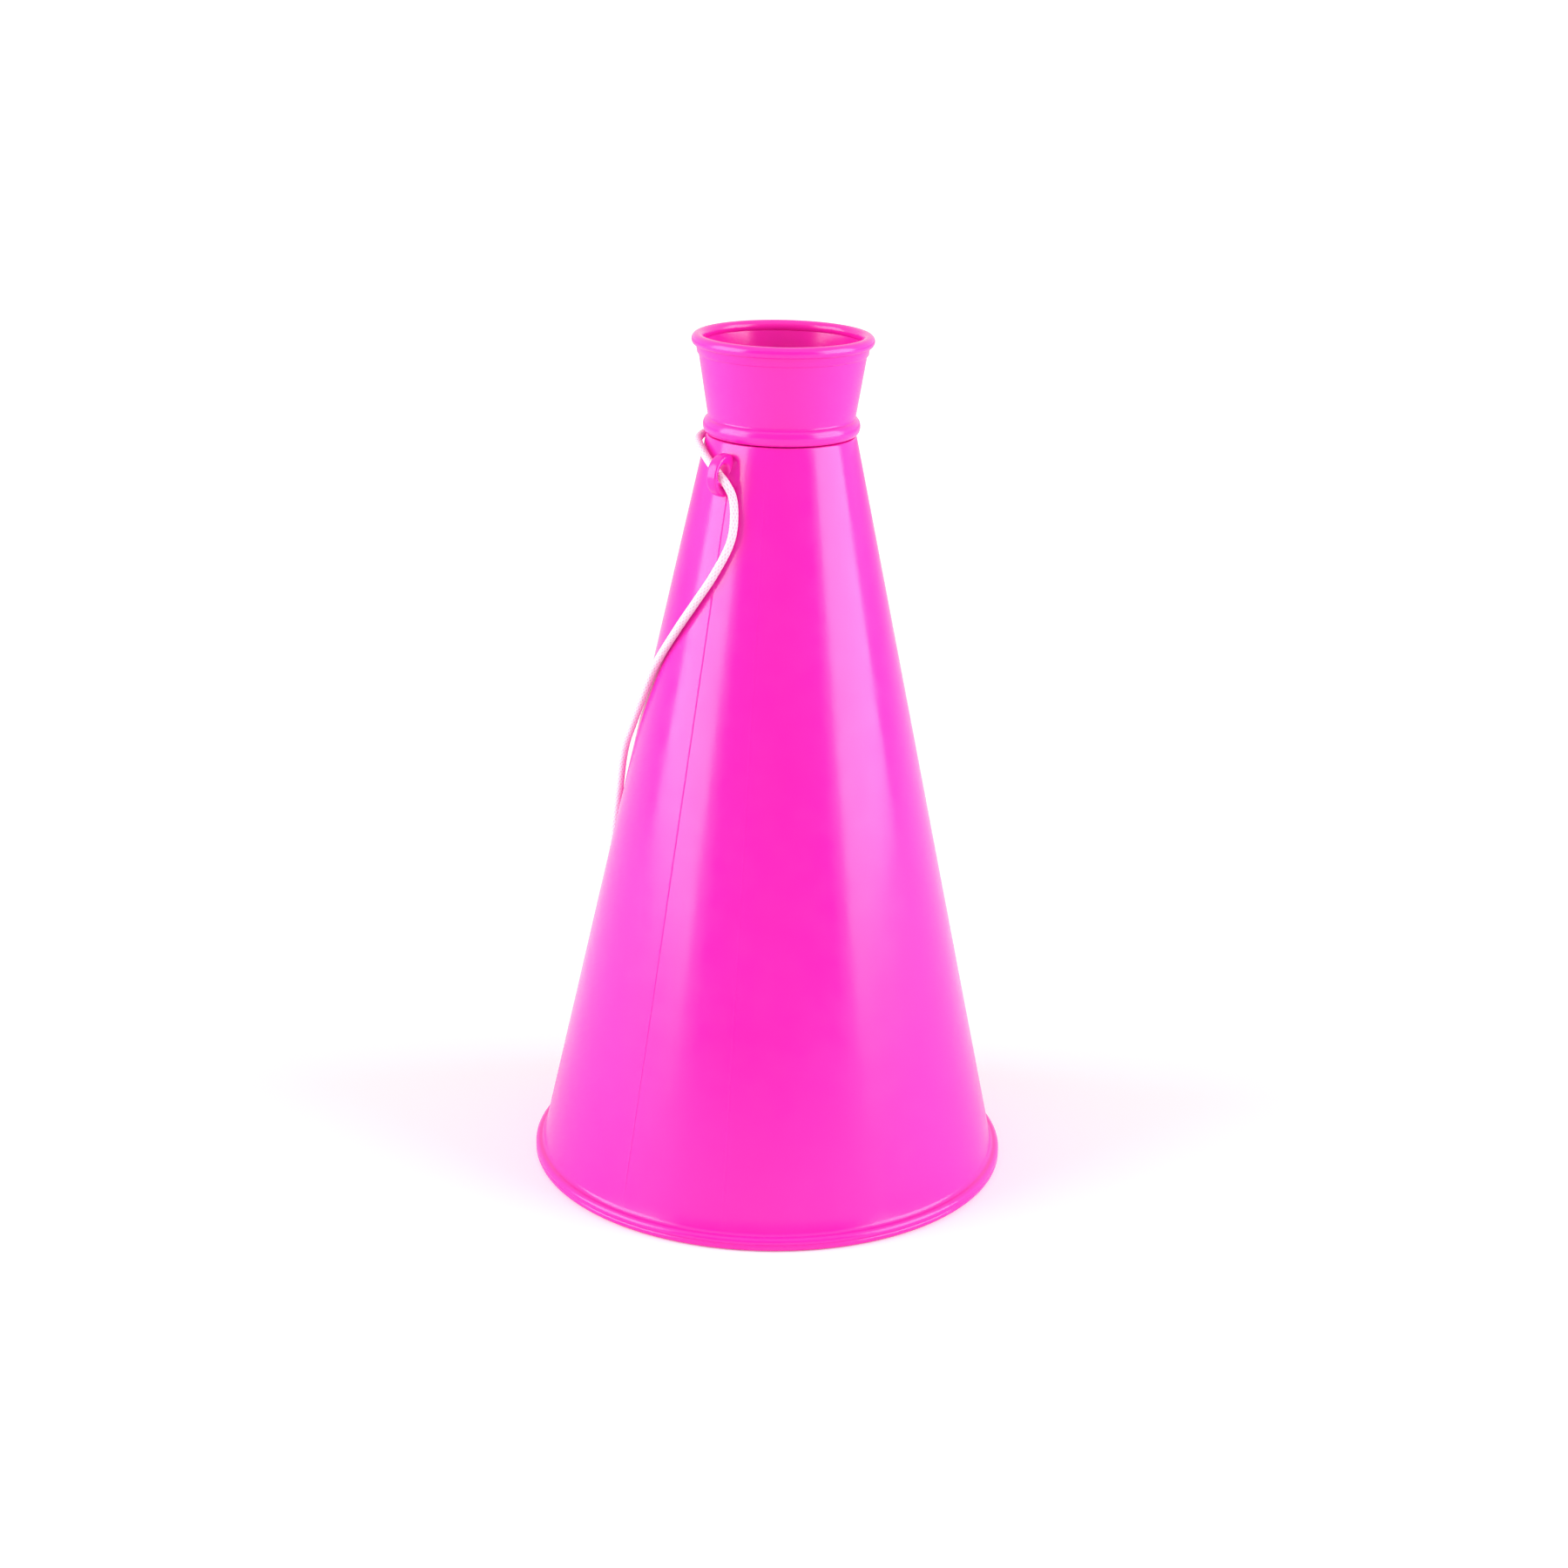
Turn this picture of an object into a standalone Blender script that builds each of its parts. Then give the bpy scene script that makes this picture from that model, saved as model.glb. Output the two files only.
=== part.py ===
"""A hand horn for calling across a stadium: a plastic cone, a mouthpiece and a carrying cord.

Metres, +Z up. The horn stands on its bell with the mouthpiece on top, and the origin is the
middle of the bell's resting plane. The front is -Y. An azimuth is in degrees round the horn's
axis, from the front (-Y) by way of the left side (-X) to the back (+Y).
"""

import math

import bmesh
import bpy
import numpy as np
from mathutils import Matrix, Vector

MM = 0.001

# Sizes that several pieces share
HORN_HEIGHT = 210.0 * MM
WALL = 1.2 * MM
TOUCH_GAP = 0.3 * MM
FLOOR_GAP = 0.05 * MM

# Cone, measured on its outside
CONE_BELL_RADIUS = 57.6 * MM
CONE_NECK_RADIUS = 17.9 * MM
CONE_STEPS = 96

# Rolled rim round the bell
BELL_RIM_OUT = 2.0 * MM
BELL_RIM_HEIGHT = 3.4 * MM
BELL_RIM_ROUNDING = 1.1 * MM

# Spigot at the top of the cone, and the shoulder that carries the mouthpiece
SPIGOT_RADIUS = 15.9 * MM
SPIGOT_LENGTH = 6.0 * MM
SPIGOT_CHAMFER = 0.4 * MM
SHOULDER_THICKNESS = 1.4 * MM
SHOULDER_CHAMFER = 0.3 * MM

# Mouthpiece, measured on its outside
MOUTHPIECE_LENGTH = 23.6 * MM
MOUTHPIECE_STEPS = 72
CUP_BASE_RADIUS = 17.54 * MM
CUP_TOP_RADIUS = 20.45 * MM
SOCKET_CLEARANCE = 0.3 * MM
SOCKET_RELIEF = 0.6 * MM
COLLAR_BEAD_OUT = 1.2 * MM
COLLAR_BEAD_HEIGHT = 3.8 * MM
MOUTH_RIM_OUT = 1.2 * MM
MOUTH_RIM_IN = 0.5 * MM
MOUTH_RIM_HEIGHT = 2.9 * MM

# Lugs for the cord, moulded on the cone on opposite sides
LUG_AZIMUTHS = {"left_lug": 40.0, "back_lug": 220.0}
LUG_DROP = 7.2 * MM
LUG_REACH = 5.9 * MM
LUG_HEIGHT = 10.2 * MM
LUG_THICKNESS = 2.9 * MM
LUG_EDGE_ROUNDING = 0.5 * MM
LUG_HOLE_OUT = 2.9 * MM
LUG_HOLE_WIDTH = 3.6 * MM
LUG_HOLE_HEIGHT = 5.2 * MM
LUG_PAD_WIDTH = 9.2 * MM
LUG_PAD_HEIGHT = 10.6 * MM
LUG_PAD_RISE = 1.1 * MM

# Cord
CORD_RADIUS = 1.0 * MM
CORD_POINT_SPACING = 4.5 * MM
CORD_SLOPE_IN_LUG = 35.0
CORD_STRAIGHT_IN_LUG = 2.8 * MM

# Put-away coil, behind the bell: it winds inwards in the lower layer and outwards in the upper one
COIL_RIGHT = -10.0 * MM
COIL_BEHIND = 22.4 * MM
COIL_OUTER_RADIUS = 13.5 * MM
COIL_PITCH = 2.5 * MM
COIL_TURNS_A_LAYER = 2
COIL_POINTS_A_TURN = 24
COIL_LEAST_GAP = 0.4 * MM

# Knot that closes the loop, lying along X
KNOT_RIGHT = 13.5 * MM
KNOT_BEHIND = 10.4 * MM
KNOT_LENGTH = 8.6 * MM
KNOT_CORE_RADIUS = 2.3 * MM
KNOT_WRAP_RISE = 0.4 * MM
KNOT_WRAPS = 4

# Tie round the coil
TIE_RADIUS = 0.45 * MM
TIE_TAIL_LENGTH = 7.0 * MM
TIE_TAIL_RADIUS = 0.8 * MM

# Colours, with roughness: nothing on the horn is metal
PINK_PLASTIC = ((0.98, 0.03, 0.46), 0.22)
CORD_COLOUR = ((0.93, 0.74, 0.84), 0.85)
TIE_COLOUR = ((0.90, 0.90, 0.88), 0.55)

# Heights and radii that follow from the sizes above
SHOULDER_HEIGHT = HORN_HEIGHT - MOUTHPIECE_LENGTH - TOUCH_GAP
COLLAR_FOOT_HEIGHT = SHOULDER_HEIGHT + TOUCH_GAP
BELL_OUTER_RADIUS = CONE_BELL_RADIUS + BELL_RIM_OUT
CONE_FALL = SHOULDER_HEIGHT - BELL_RIM_HEIGHT
CONE_SPREAD = CONE_BELL_RADIUS - CONE_NECK_RADIUS
CONE_HALF_ANGLE = math.atan2(CONE_SPREAD, CONE_FALL)
LUG_CENTRE_HEIGHT = SHOULDER_HEIGHT - LUG_DROP
CORD_LIE = CORD_RADIUS + TOUCH_GAP
TIE_OFFSET = CORD_RADIUS + TOUCH_GAP + TIE_RADIUS

# Cord routes. A wall point is (azimuth, height, lift off the wall), a rim point is
# (azimuth, distance out from the bell rim, height) and a floor point is (x, distance
# behind the bell rim, height).
NECK_ROUTE = [
    (55.0, 181.7 * MM, 0.5 * MM),
    (66.0, 183.2 * MM, 0.3 * MM),
    (78.0, 184.1 * MM, 0.2 * MM),
    (92.0, 184.5 * MM, 0.15 * MM),
    (110.0, 184.7 * MM, 0.1 * MM),
    (130.0, 184.7 * MM, 0.1 * MM),
    (150.0, 184.6 * MM, 0.1 * MM),
    (170.0, 184.4 * MM, 0.1 * MM),
    (187.0, 183.8 * MM, 0.15 * MM),
    (199.0, 182.6 * MM, 0.4 * MM),
]
FRONT_WALL_ROUTE = [
    (30.6, 174.5 * MM, 0.0),
    (27.6, 168.5 * MM, 0.0),
    (28.7, 163.9 * MM, 0.0),
    (36.2, 156.4 * MM, 0.0),
    (45.2, 149.5 * MM, 0.0),
    (54.9, 142.4 * MM, 0.0),
    (70.5, 130.7 * MM, 0.0),
    (78.5, 121.9 * MM, 0.0),
    (86.0, 114.0 * MM, 0.2 * MM),
    (91.0, 108.5 * MM, 0.6 * MM),
    (95.0, 103.1 * MM, 0.6 * MM),
    (99.5, 95.1 * MM, 0.2 * MM),
    (104.5, 86.0 * MM, 0.0),
    (111.0, 72.0 * MM, 0.0),
    (119.0, 55.0 * MM, 0.0),
    (128.5, 38.0 * MM, 0.0),
    (138.0, 22.0 * MM, 0.0),
    (144.5, 11.5 * MM, 0.1 * MM),
]
FRONT_RIM_ROUTE = [
    (147.5, 0.8 * MM, 5.0 * MM),
    (148.8, 2.3 * MM, 2.6 * MM),
    (149.6, 4.8 * MM, 1.2 * MM),
]
FRONT_FLOOR_ROUTE = [
    (-35.0 * MM, 1.2 * MM, 1.05 * MM),
    (-33.4 * MM, 6.6 * MM, 1.05 * MM),
    (-27.4 * MM, 9.5 * MM, 1.05 * MM),
    (-19.5 * MM, 9.3 * MM, 1.05 * MM),
]
LINK_ROUTE = [
    (-3.0 * MM, 9.0 * MM, 3.45 * MM),
    (3.0 * MM, 9.9 * MM, 3.1 * MM),
]
BACK_FLOOR_ROUTE = [
    (22.4 * MM, 10.2 * MM, 2.2 * MM),
    (27.2 * MM, 7.8 * MM, 1.3 * MM),
    (29.6 * MM, 3.2 * MM, 1.05 * MM),
]
BACK_RIM_ROUTE = [
    (205.4, 4.6 * MM, 1.2 * MM),
    (206.2, 2.3 * MM, 2.6 * MM),
    (207.0, 0.8 * MM, 5.0 * MM),
]
BACK_WALL_ROUTE = [
    (208.6, 11.5 * MM, 0.1 * MM),
    (211.0, 24.0 * MM, 0.0),
    (214.5, 45.0 * MM, 0.0),
    (218.5, 70.0 * MM, 0.0),
    (222.5, 95.0 * MM, 0.0),
    (226.5, 120.0 * MM, 0.0),
    (230.0, 142.0 * MM, 0.0),
    (232.5, 158.0 * MM, 0.0),
    (232.8, 167.0 * MM, 0.0),
    (229.4, 174.5 * MM, 0.0),
]
KNOT_TAILS = [
    [(-2.6 * MM, 0.0, 0.0), (-3.6 * MM, 3.2 * MM, -0.4 * MM), (-5.2 * MM, 7.4 * MM, -1.6 * MM)],
    [(2.6 * MM, 0.0, 0.0), (3.8 * MM, -3.4 * MM, -0.4 * MM), (4.2 * MM, -7.8 * MM, -1.6 * MM)],
]


def clear_scene():
    """Remove every object, so that the script can be run again."""
    for thing in list(bpy.data.objects):
        bpy.data.objects.remove(thing, do_unlink=True)


def make_material(name, look):
    """A plain shader with one colour and one roughness."""
    colour, roughness = look
    material = bpy.data.materials.new(name)
    material.use_nodes = True
    shader = material.node_tree.nodes["Principled BSDF"]
    shader.inputs["Base Color"].default_value = (*colour, 1.0)
    shader.inputs["Roughness"].default_value = roughness
    shader.inputs["Metallic"].default_value = 0.0
    return material


def add_object(name, data, look=None):
    """Put a mesh or a curve in the scene, with its own material where it has a look."""
    thing = bpy.data.objects.new(name, data)
    bpy.context.scene.collection.objects.link(thing)
    if look:
        data.materials.append(make_material(name, look))
    return thing


def add_guide(name, mesh):
    """A solid that only shapes another one, and is no part of the horn."""
    guide = add_object(name, mesh)
    guide.hide_render = True
    guide.display_type = "WIRE"
    return guide


def combine(target, guide, operation):
    """Join a guide to a piece, or cut it out."""
    step = target.modifiers.new(guide.name, "BOOLEAN")
    step.object = guide
    step.operation = operation


def finish_mesh(mesh_builder, name, sharp_angle=35.0):
    """Turn a bmesh into a mesh with outward faces and smooth round stretches."""
    bmesh.ops.recalc_face_normals(mesh_builder, faces=mesh_builder.faces)
    mesh = bpy.data.meshes.new(name)
    mesh_builder.to_mesh(mesh)
    mesh_builder.free()
    mesh.shade_smooth()
    mesh.set_sharp_from_angle(angle=math.radians(sharp_angle))
    return mesh


def arc(centre, half_width, half_height, start, end, segments):
    """Points of an ellipse's arc in the profile's plane, from one angle in degrees to another."""
    angles = np.radians(np.linspace(start, end, segments + 1))
    return [
        (centre[0] + half_width * math.cos(angle), centre[1] + half_height * math.sin(angle))
        for angle in angles
    ]


def turned_mesh(name, profile, steps):
    """Turn a closed profile of (radius, height) points once round the Z axis."""
    builder = bmesh.new()
    rim = [builder.verts.new((radius, 0.0, height)) for radius, height in profile]
    edges = [builder.edges.new((rim[i - 1], rim[i])) for i in range(len(rim))]
    bmesh.ops.spin(
        builder,
        geom=rim + edges,
        cent=(0.0, 0.0, 0.0),
        axis=(0.0, 0.0, 1.0),
        angle=2.0 * math.pi,
        steps=steps,
        use_merge=True,
    )
    return finish_mesh(builder, name)


def wall_radius(height):
    """Outside radius of the cone's straight wall at a height."""
    return CONE_NECK_RADIUS + CONE_SPREAD * (SHOULDER_HEIGHT - height) / CONE_FALL


def inner_wall_radius(height):
    """Inside radius of the cone at a height, one wall thickness in from the outside."""
    return wall_radius(height) - WALL / math.cos(CONE_HALF_ANGLE)


def outward(azimuth):
    """Unit vector that points away from the horn's axis at an azimuth."""
    angle = math.radians(azimuth)
    return Vector((-math.sin(angle), -math.cos(angle), 0.0))


def cone_profile():
    """Section of the cone, down its outside and up its inside."""
    spigot_top = SHOULDER_HEIGHT + SPIGOT_LENGTH
    spigot_bore = SPIGOT_RADIUS - WALL
    shoulder_underside = SHOULDER_HEIGHT - SHOULDER_THICKNESS
    rim_centre = BELL_OUTER_RADIUS - BELL_RIM_ROUNDING
    upper_round = (rim_centre, BELL_RIM_HEIGHT - BELL_RIM_ROUNDING)
    lower_round = (rim_centre, BELL_RIM_ROUNDING)
    return [
        (SPIGOT_RADIUS - SPIGOT_CHAMFER, spigot_top),
        (SPIGOT_RADIUS, spigot_top - SPIGOT_CHAMFER),
        (SPIGOT_RADIUS, SHOULDER_HEIGHT),
        (CONE_NECK_RADIUS - SHOULDER_CHAMFER, SHOULDER_HEIGHT),
        (wall_radius(SHOULDER_HEIGHT - SHOULDER_CHAMFER), SHOULDER_HEIGHT - SHOULDER_CHAMFER),
        (CONE_BELL_RADIUS, BELL_RIM_HEIGHT),
        *arc(upper_round, BELL_RIM_ROUNDING, BELL_RIM_ROUNDING, 90.0, 0.0, 4),
        *arc(lower_round, BELL_RIM_ROUNDING, BELL_RIM_ROUNDING, 0.0, -90.0, 4),
        (inner_wall_radius(0.0), 0.0),
        (inner_wall_radius(shoulder_underside), shoulder_underside),
        (spigot_bore, shoulder_underside),
        (spigot_bore, spigot_top),
    ]


def mouthpiece_profile():
    """Section of the mouthpiece, down its outside and up its inside."""
    rim_half_width = (MOUTH_RIM_OUT + WALL + MOUTH_RIM_IN) / 2
    rim_half_height = MOUTH_RIM_HEIGHT / 2
    rim_centre = (CUP_TOP_RADIUS + MOUTH_RIM_OUT - rim_half_width, HORN_HEIGHT - rim_half_height)
    outer_meeting = -math.degrees(math.acos((CUP_TOP_RADIUS - rim_centre[0]) / rim_half_width))
    inner_radius = CUP_TOP_RADIUS - WALL
    inner_meeting = 360.0 - math.degrees(math.acos((inner_radius - rim_centre[0]) / rim_half_width))
    bead_centre = (CUP_BASE_RADIUS, COLLAR_FOOT_HEIGHT + COLLAR_BEAD_HEIGHT / 2)
    bead_top = COLLAR_FOOT_HEIGHT + COLLAR_BEAD_HEIGHT
    socket_radius = SPIGOT_RADIUS + SOCKET_CLEARANCE
    socket_top = SHOULDER_HEIGHT + SPIGOT_LENGTH + SOCKET_RELIEF
    cup_flare = (CUP_TOP_RADIUS - CUP_BASE_RADIUS) / (rim_centre[1] - bead_top)
    cup_floor = socket_top + 2 * WALL
    cup_floor_radius = CUP_BASE_RADIUS + cup_flare * (cup_floor - bead_top) - WALL
    return [
        *arc(rim_centre, rim_half_width, rim_half_height, 90.0, outer_meeting, 9),
        *arc(bead_centre, COLLAR_BEAD_OUT, COLLAR_BEAD_HEIGHT / 2, 90.0, -90.0, 8),
        (socket_radius, COLLAR_FOOT_HEIGHT),
        (socket_radius, socket_top),
        (cup_floor_radius, cup_floor),
        *arc(rim_centre, rim_half_width, rim_half_height, inner_meeting, 90.0, 6)[:-1],
    ]


def lug_frame(azimuth):
    """Frame on the wall at a lug: X out of the wall, Y along the lug's hole, Z up the wall."""
    out = outward(azimuth)
    up = Vector((0.0, 0.0, 1.0))
    normal = out * math.cos(CONE_HALF_ANGLE) + up * math.sin(CONE_HALF_ANGLE)
    along_wall = up * math.cos(CONE_HALF_ANGLE) - out * math.sin(CONE_HALF_ANGLE)
    across = along_wall.cross(normal)
    frame = Matrix((normal, across, along_wall)).transposed().to_4x4()
    frame.translation = out * wall_radius(LUG_CENTRE_HEIGHT) + up * LUG_CENTRE_HEIGHT
    return frame


def lug_loop_mesh(frame):
    """Flat loop that stands on the wall: a half ellipse whose base is sunk in the wall."""
    root = -WALL / 2
    straight = WALL
    reach = LUG_REACH - straight
    outline = arc((straight, 0.0), reach, LUG_HEIGHT / 2, -90.0, 90.0, 18)
    outline = [(root, -LUG_HEIGHT / 2), *outline, (root, LUG_HEIGHT / 2)]
    builder = bmesh.new()
    corners = [builder.verts.new((x, -LUG_THICKNESS / 2, z)) for x, z in outline]
    side = builder.faces.new(corners)
    grown = bmesh.ops.extrude_face_region(builder, geom=[side])["geom"]
    moved = [item for item in grown if isinstance(item, bmesh.types.BMVert)]
    bmesh.ops.translate(builder, verts=moved, vec=(0.0, LUG_THICKNESS, 0.0))
    rounded = [
        edge
        for edge in builder.edges
        if abs(edge.verts[0].co.y - edge.verts[1].co.y) < FLOOR_GAP
        and max(edge.verts[0].co.x, edge.verts[1].co.x) > root + FLOOR_GAP
    ]
    bmesh.ops.bevel(
        builder,
        geom=rounded,
        offset=LUG_EDGE_ROUNDING,
        segments=2,
        profile=0.5,
        affect="EDGES",
    )
    builder.transform(frame)
    return finish_mesh(builder, "lug_loop")


def lug_pad_mesh(azimuth):
    """Low dome that blends a lug into the wall. It follows the wall's own curve."""
    rings = 5
    spokes = 24
    sink = WALL / 2
    edge_drop = WALL / 5
    middle_radius = wall_radius(LUG_CENTRE_HEIGHT)

    def pad_point(share, turn, rise):
        across = share * math.cos(turn) * LUG_PAD_WIDTH / 2
        along = share * math.sin(turn) * LUG_PAD_HEIGHT / 2
        height = LUG_CENTRE_HEIGHT + along * math.cos(CONE_HALF_ANGLE)
        bearing = outward(azimuth + math.degrees(across / middle_radius))
        normal = bearing * math.cos(CONE_HALF_ANGLE) + Vector((0.0, 0.0, math.sin(CONE_HALF_ANGLE)))
        return bearing * wall_radius(height) + Vector((0.0, 0.0, height)) + normal * rise

    builder = bmesh.new()
    turns = [2.0 * math.pi * spoke / spokes for spoke in range(spokes)]
    peak = builder.verts.new(pad_point(0.0, 0.0, LUG_PAD_RISE))
    loops = []
    for ring in range(1, rings + 1):
        share = ring / rings
        rise = LUG_PAD_RISE * (1.0 - share**2) ** 2 - edge_drop * share**2
        loops.append([builder.verts.new(pad_point(share, turn, rise)) for turn in turns])
    loops.append([builder.verts.new(pad_point(1.0, turn, -sink)) for turn in turns])
    root = builder.verts.new(pad_point(0.0, 0.0, -sink))
    for spoke in range(spokes):
        builder.faces.new((peak, loops[0][spoke - 1], loops[0][spoke]))
        builder.faces.new((root, loops[-1][spoke], loops[-1][spoke - 1]))
        for inner, outer in zip(loops[:-1], loops[1:]):
            builder.faces.new((inner[spoke - 1], outer[spoke - 1], outer[spoke], inner[spoke]))
    return finish_mesh(builder, "lug_pad")


def lug_hole_mesh(frame):
    """Oval bar that cuts the hole through a lug."""
    cut_length = LUG_PAD_WIDTH
    outline = arc((LUG_HOLE_OUT, 0.0), LUG_HOLE_WIDTH / 2, LUG_HOLE_HEIGHT / 2, 0.0, 360.0, 24)[:-1]
    builder = bmesh.new()
    corners = [builder.verts.new((x, -cut_length / 2, z)) for x, z in outline]
    side = builder.faces.new(corners)
    grown = bmesh.ops.extrude_face_region(builder, geom=[side])["geom"]
    moved = [item for item in grown if isinstance(item, bmesh.types.BMVert)]
    bmesh.ops.translate(builder, verts=moved, vec=(0.0, cut_length, 0.0))
    builder.transform(frame)
    return finish_mesh(builder, "lug_hole")


def make_bell_cone():
    """The cone with its bell rim, spigot and both lugs."""
    mesh = turned_mesh("bell_cone", cone_profile(), CONE_STEPS)
    cone = add_object("bell_cone", mesh, PINK_PLASTIC)
    for name, azimuth in LUG_AZIMUTHS.items():
        frame = lug_frame(azimuth)
        combine(cone, add_guide(name + "_pad", lug_pad_mesh(azimuth)), "UNION")
        combine(cone, add_guide(name + "_loop", lug_loop_mesh(frame)), "UNION")
        combine(cone, add_guide(name + "_hole", lug_hole_mesh(frame)), "DIFFERENCE")
    return cone


def make_mouthpiece():
    """The speaking cup, whose origin is on the axis that it slides along."""
    mesh = turned_mesh("mouthpiece", mouthpiece_profile(), MOUTHPIECE_STEPS)
    return add_object("mouthpiece", mesh, PINK_PLASTIC)


def on_wall(azimuth, height, lift):
    """Middle of a cord that lies on the cone, at an azimuth and a height."""
    stand_off = (CORD_LIE + lift) / math.cos(CONE_HALF_ANGLE)
    return outward(azimuth) * (wall_radius(height) + stand_off) + Vector((0.0, 0.0, height))


def over_rim(azimuth, out, height):
    """Middle of a cord that passes over the bell rim."""
    return outward(azimuth) * (BELL_OUTER_RADIUS + out) + Vector((0.0, 0.0, height))


def on_floor(right, behind, height):
    """Middle of a cord that lies behind the bell."""
    return Vector((right, BELL_OUTER_RADIUS + behind, height))


def smooth_curve(route, spacing, straight_ends=False):
    """Points a steady distance apart on a centripetal Catmull-Rom curve through a route.

    With straight ends, the route's first and last steps stay as they are, each with no
    point between its two ends.
    """
    knots = [Vector(point) for point in route]
    head = (knots[1] - knots[0]).length if straight_ends else 0.0
    tail = (knots[-1] - knots[-2]).length if straight_ends else 0.0
    knots.insert(0, 2.0 * knots[0] - knots[1])
    knots.append(2.0 * knots[-1] - knots[-2])
    fine = []
    for before, start, end, after in zip(knots, knots[1:], knots[2:], knots[3:]):
        span = (end - start).length
        reach_in = math.sqrt((start - before).length / span)
        reach_out = math.sqrt((after - end).length / span)
        slope_in = (start - before) / reach_in - (end - before) / (reach_in + 1.0) + (end - start)
        slope_out = (end - start) - (after - start) / (reach_out + 1.0) + (after - end) / reach_out
        for share in np.linspace(0.0, 1.0, 16, endpoint=False):
            fine.append(hermite(start, slope_in, end, slope_out, share))
    fine.append(knots[-2])
    fine = np.array(fine)
    run = np.concatenate(([0.0], np.cumsum(np.linalg.norm(np.diff(fine, axis=0), axis=1))))
    bends = run[-1] - head - tail
    stations = np.linspace(head, run[-1] - tail, max(3, round(bends / spacing) + 1))
    if straight_ends:
        stations = np.concatenate(([0.0], stations, [run[-1]]))
    return np.column_stack([np.interp(stations, run, fine[:, axis]) for axis in range(3)])


def hermite(start, slope_in, end, slope_out, share):
    """Point of a cubic that runs from start to end with the slopes given at both."""
    square = share * share
    cube = square * share
    rise = 3.0 * square - 2.0 * cube
    return (
        start * (1.0 - rise)
        + end * rise
        + slope_in * (cube - 2.0 * square + share)
        + slope_out * (cube - square)
    )


def tube_curve(name, points, radius, sides_level, cyclic=False):
    """A round tube along a line of points, closed at its ends."""
    curve = bpy.data.curves.new(name, "CURVE")
    curve.dimensions = "3D"
    curve.bevel_depth = radius
    curve.bevel_resolution = sides_level
    curve.use_fill_caps = not cyclic
    spline = curve.splines.new("POLY")
    spline.points.add(len(points) - 1)
    for slot, point in zip(spline.points, points):
        slot.co = (*point, 1.0)
    spline.use_cyclic_u = cyclic
    spline.use_smooth = True
    return curve


def tube_mesh(name, points, radius, cyclic=False):
    """The same tube as a mesh, for a solid that is joined to another."""
    curve = tube_curve(name, points, radius, 1, cyclic)
    holder = add_object(name + "_path", curve)
    mesh = bpy.data.meshes.new_from_object(holder)
    bpy.data.objects.remove(holder, do_unlink=True)
    builder = bmesh.new()
    builder.from_mesh(mesh)
    bmesh.ops.remove_doubles(builder, verts=builder.verts, dist=FLOOR_GAP / 5)
    return finish_mesh(builder, name)


def lug_passage(name, side):
    """Middle of a lug's hole and the way that the cord hangs out of it on one side."""
    frame = lug_frame(LUG_AZIMUTHS[name])
    slope = math.radians(CORD_SLOPE_IN_LUG)
    middle = frame @ Vector((LUG_HOLE_OUT, 0.0, 0.0))
    leaving = frame.to_3x3() @ Vector((0.0, side * math.cos(slope), -math.sin(slope)))
    return middle, leaving


def strand_start(middle, leaving):
    """First two points of a strand that leaves a lug: it starts half a gap from the middle."""
    return [middle + leaving * TOUCH_GAP / 2, middle + leaving * CORD_STRAIGHT_IN_LUG]


def make_strand(name, route):
    """One free stretch of the cord."""
    points = smooth_curve(route, CORD_POINT_SPACING, straight_ends=True)
    run = float(np.sum(np.linalg.norm(np.diff(points, axis=0), axis=1)))
    print(f"{name}: {run / MM:.1f} mm long, {len(points)} points")
    return add_object(name, tube_curve(name, points, CORD_RADIUS, 2), CORD_COLOUR)


def coil_lift(y_offset):
    """How far the coil is raised: it leans on its tie at the back and lies on the floor in front."""
    raised = TIE_OFFSET - CORD_RADIUS + TIE_RADIUS
    return raised * (1.0 + y_offset / COIL_OUTER_RADIUS) / 2


def coil_points():
    """Middle line of the coil, from its lower outer end to its upper outer end.

    The radius falls by one pitch a turn in the lower layer and grows again in the upper
    one. The climb takes the half turn round the middle, where the spiral turns back.
    """
    turns = 2 * COIL_TURNS_A_LAYER
    turn = np.linspace(0.0, turns, turns * COIL_POINTS_A_TURN + 1)
    angle = 2.0 * math.pi * turn - math.pi / 2
    depth = COIL_TURNS_A_LAYER - np.abs(turn - COIL_TURNS_A_LAYER)
    radius = COIL_OUTER_RADIUS - COIL_PITCH * depth
    climb = np.clip(2.0 * (turn - COIL_TURNS_A_LAYER) + 0.5, 0.0, 1.0)
    y_offset = radius * np.sin(angle)
    height = CORD_RADIUS + FLOOR_GAP + COIL_PITCH * climb + coil_lift(y_offset)
    points = np.column_stack((radius * np.cos(angle), y_offset, height))
    lead = np.array((2.0 * CORD_RADIUS, 0.0, 0.0))
    points = np.vstack((points[0] - lead, points, points[-1] + lead))
    return points + np.array((COIL_RIGHT, BELL_OUTER_RADIUS + COIL_BEHIND, 0.0))


def least_gap(points, radius):
    """Smallest distance between the surfaces of turns that aren't next to each other on the tube."""
    apart = np.linalg.norm(points[:, None, :] - points[None, :, :], axis=2)
    order = np.arange(len(points))
    along = np.abs(order[:, None] - order[None, :])
    return float(np.min(apart[along > COIL_POINTS_A_TURN // 2])) - 2.0 * radius


def make_coil():
    """The put-away turns of the cord, as one unbroken tube."""
    points = coil_points()
    run = float(np.sum(np.linalg.norm(np.diff(points, axis=0), axis=1)))
    gap = least_gap(points, CORD_RADIUS)
    print(f"lanyard_coil: {run / MM:.1f} mm long, least gap to itself {gap / MM:.2f} mm")
    if gap < COIL_LEAST_GAP:
        print("lanyard_coil: its turns lie too close together")
    add_object("lanyard_coil", tube_curve("lanyard_coil", points, CORD_RADIUS, 1), CORD_COLOUR)
    return points


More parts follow.
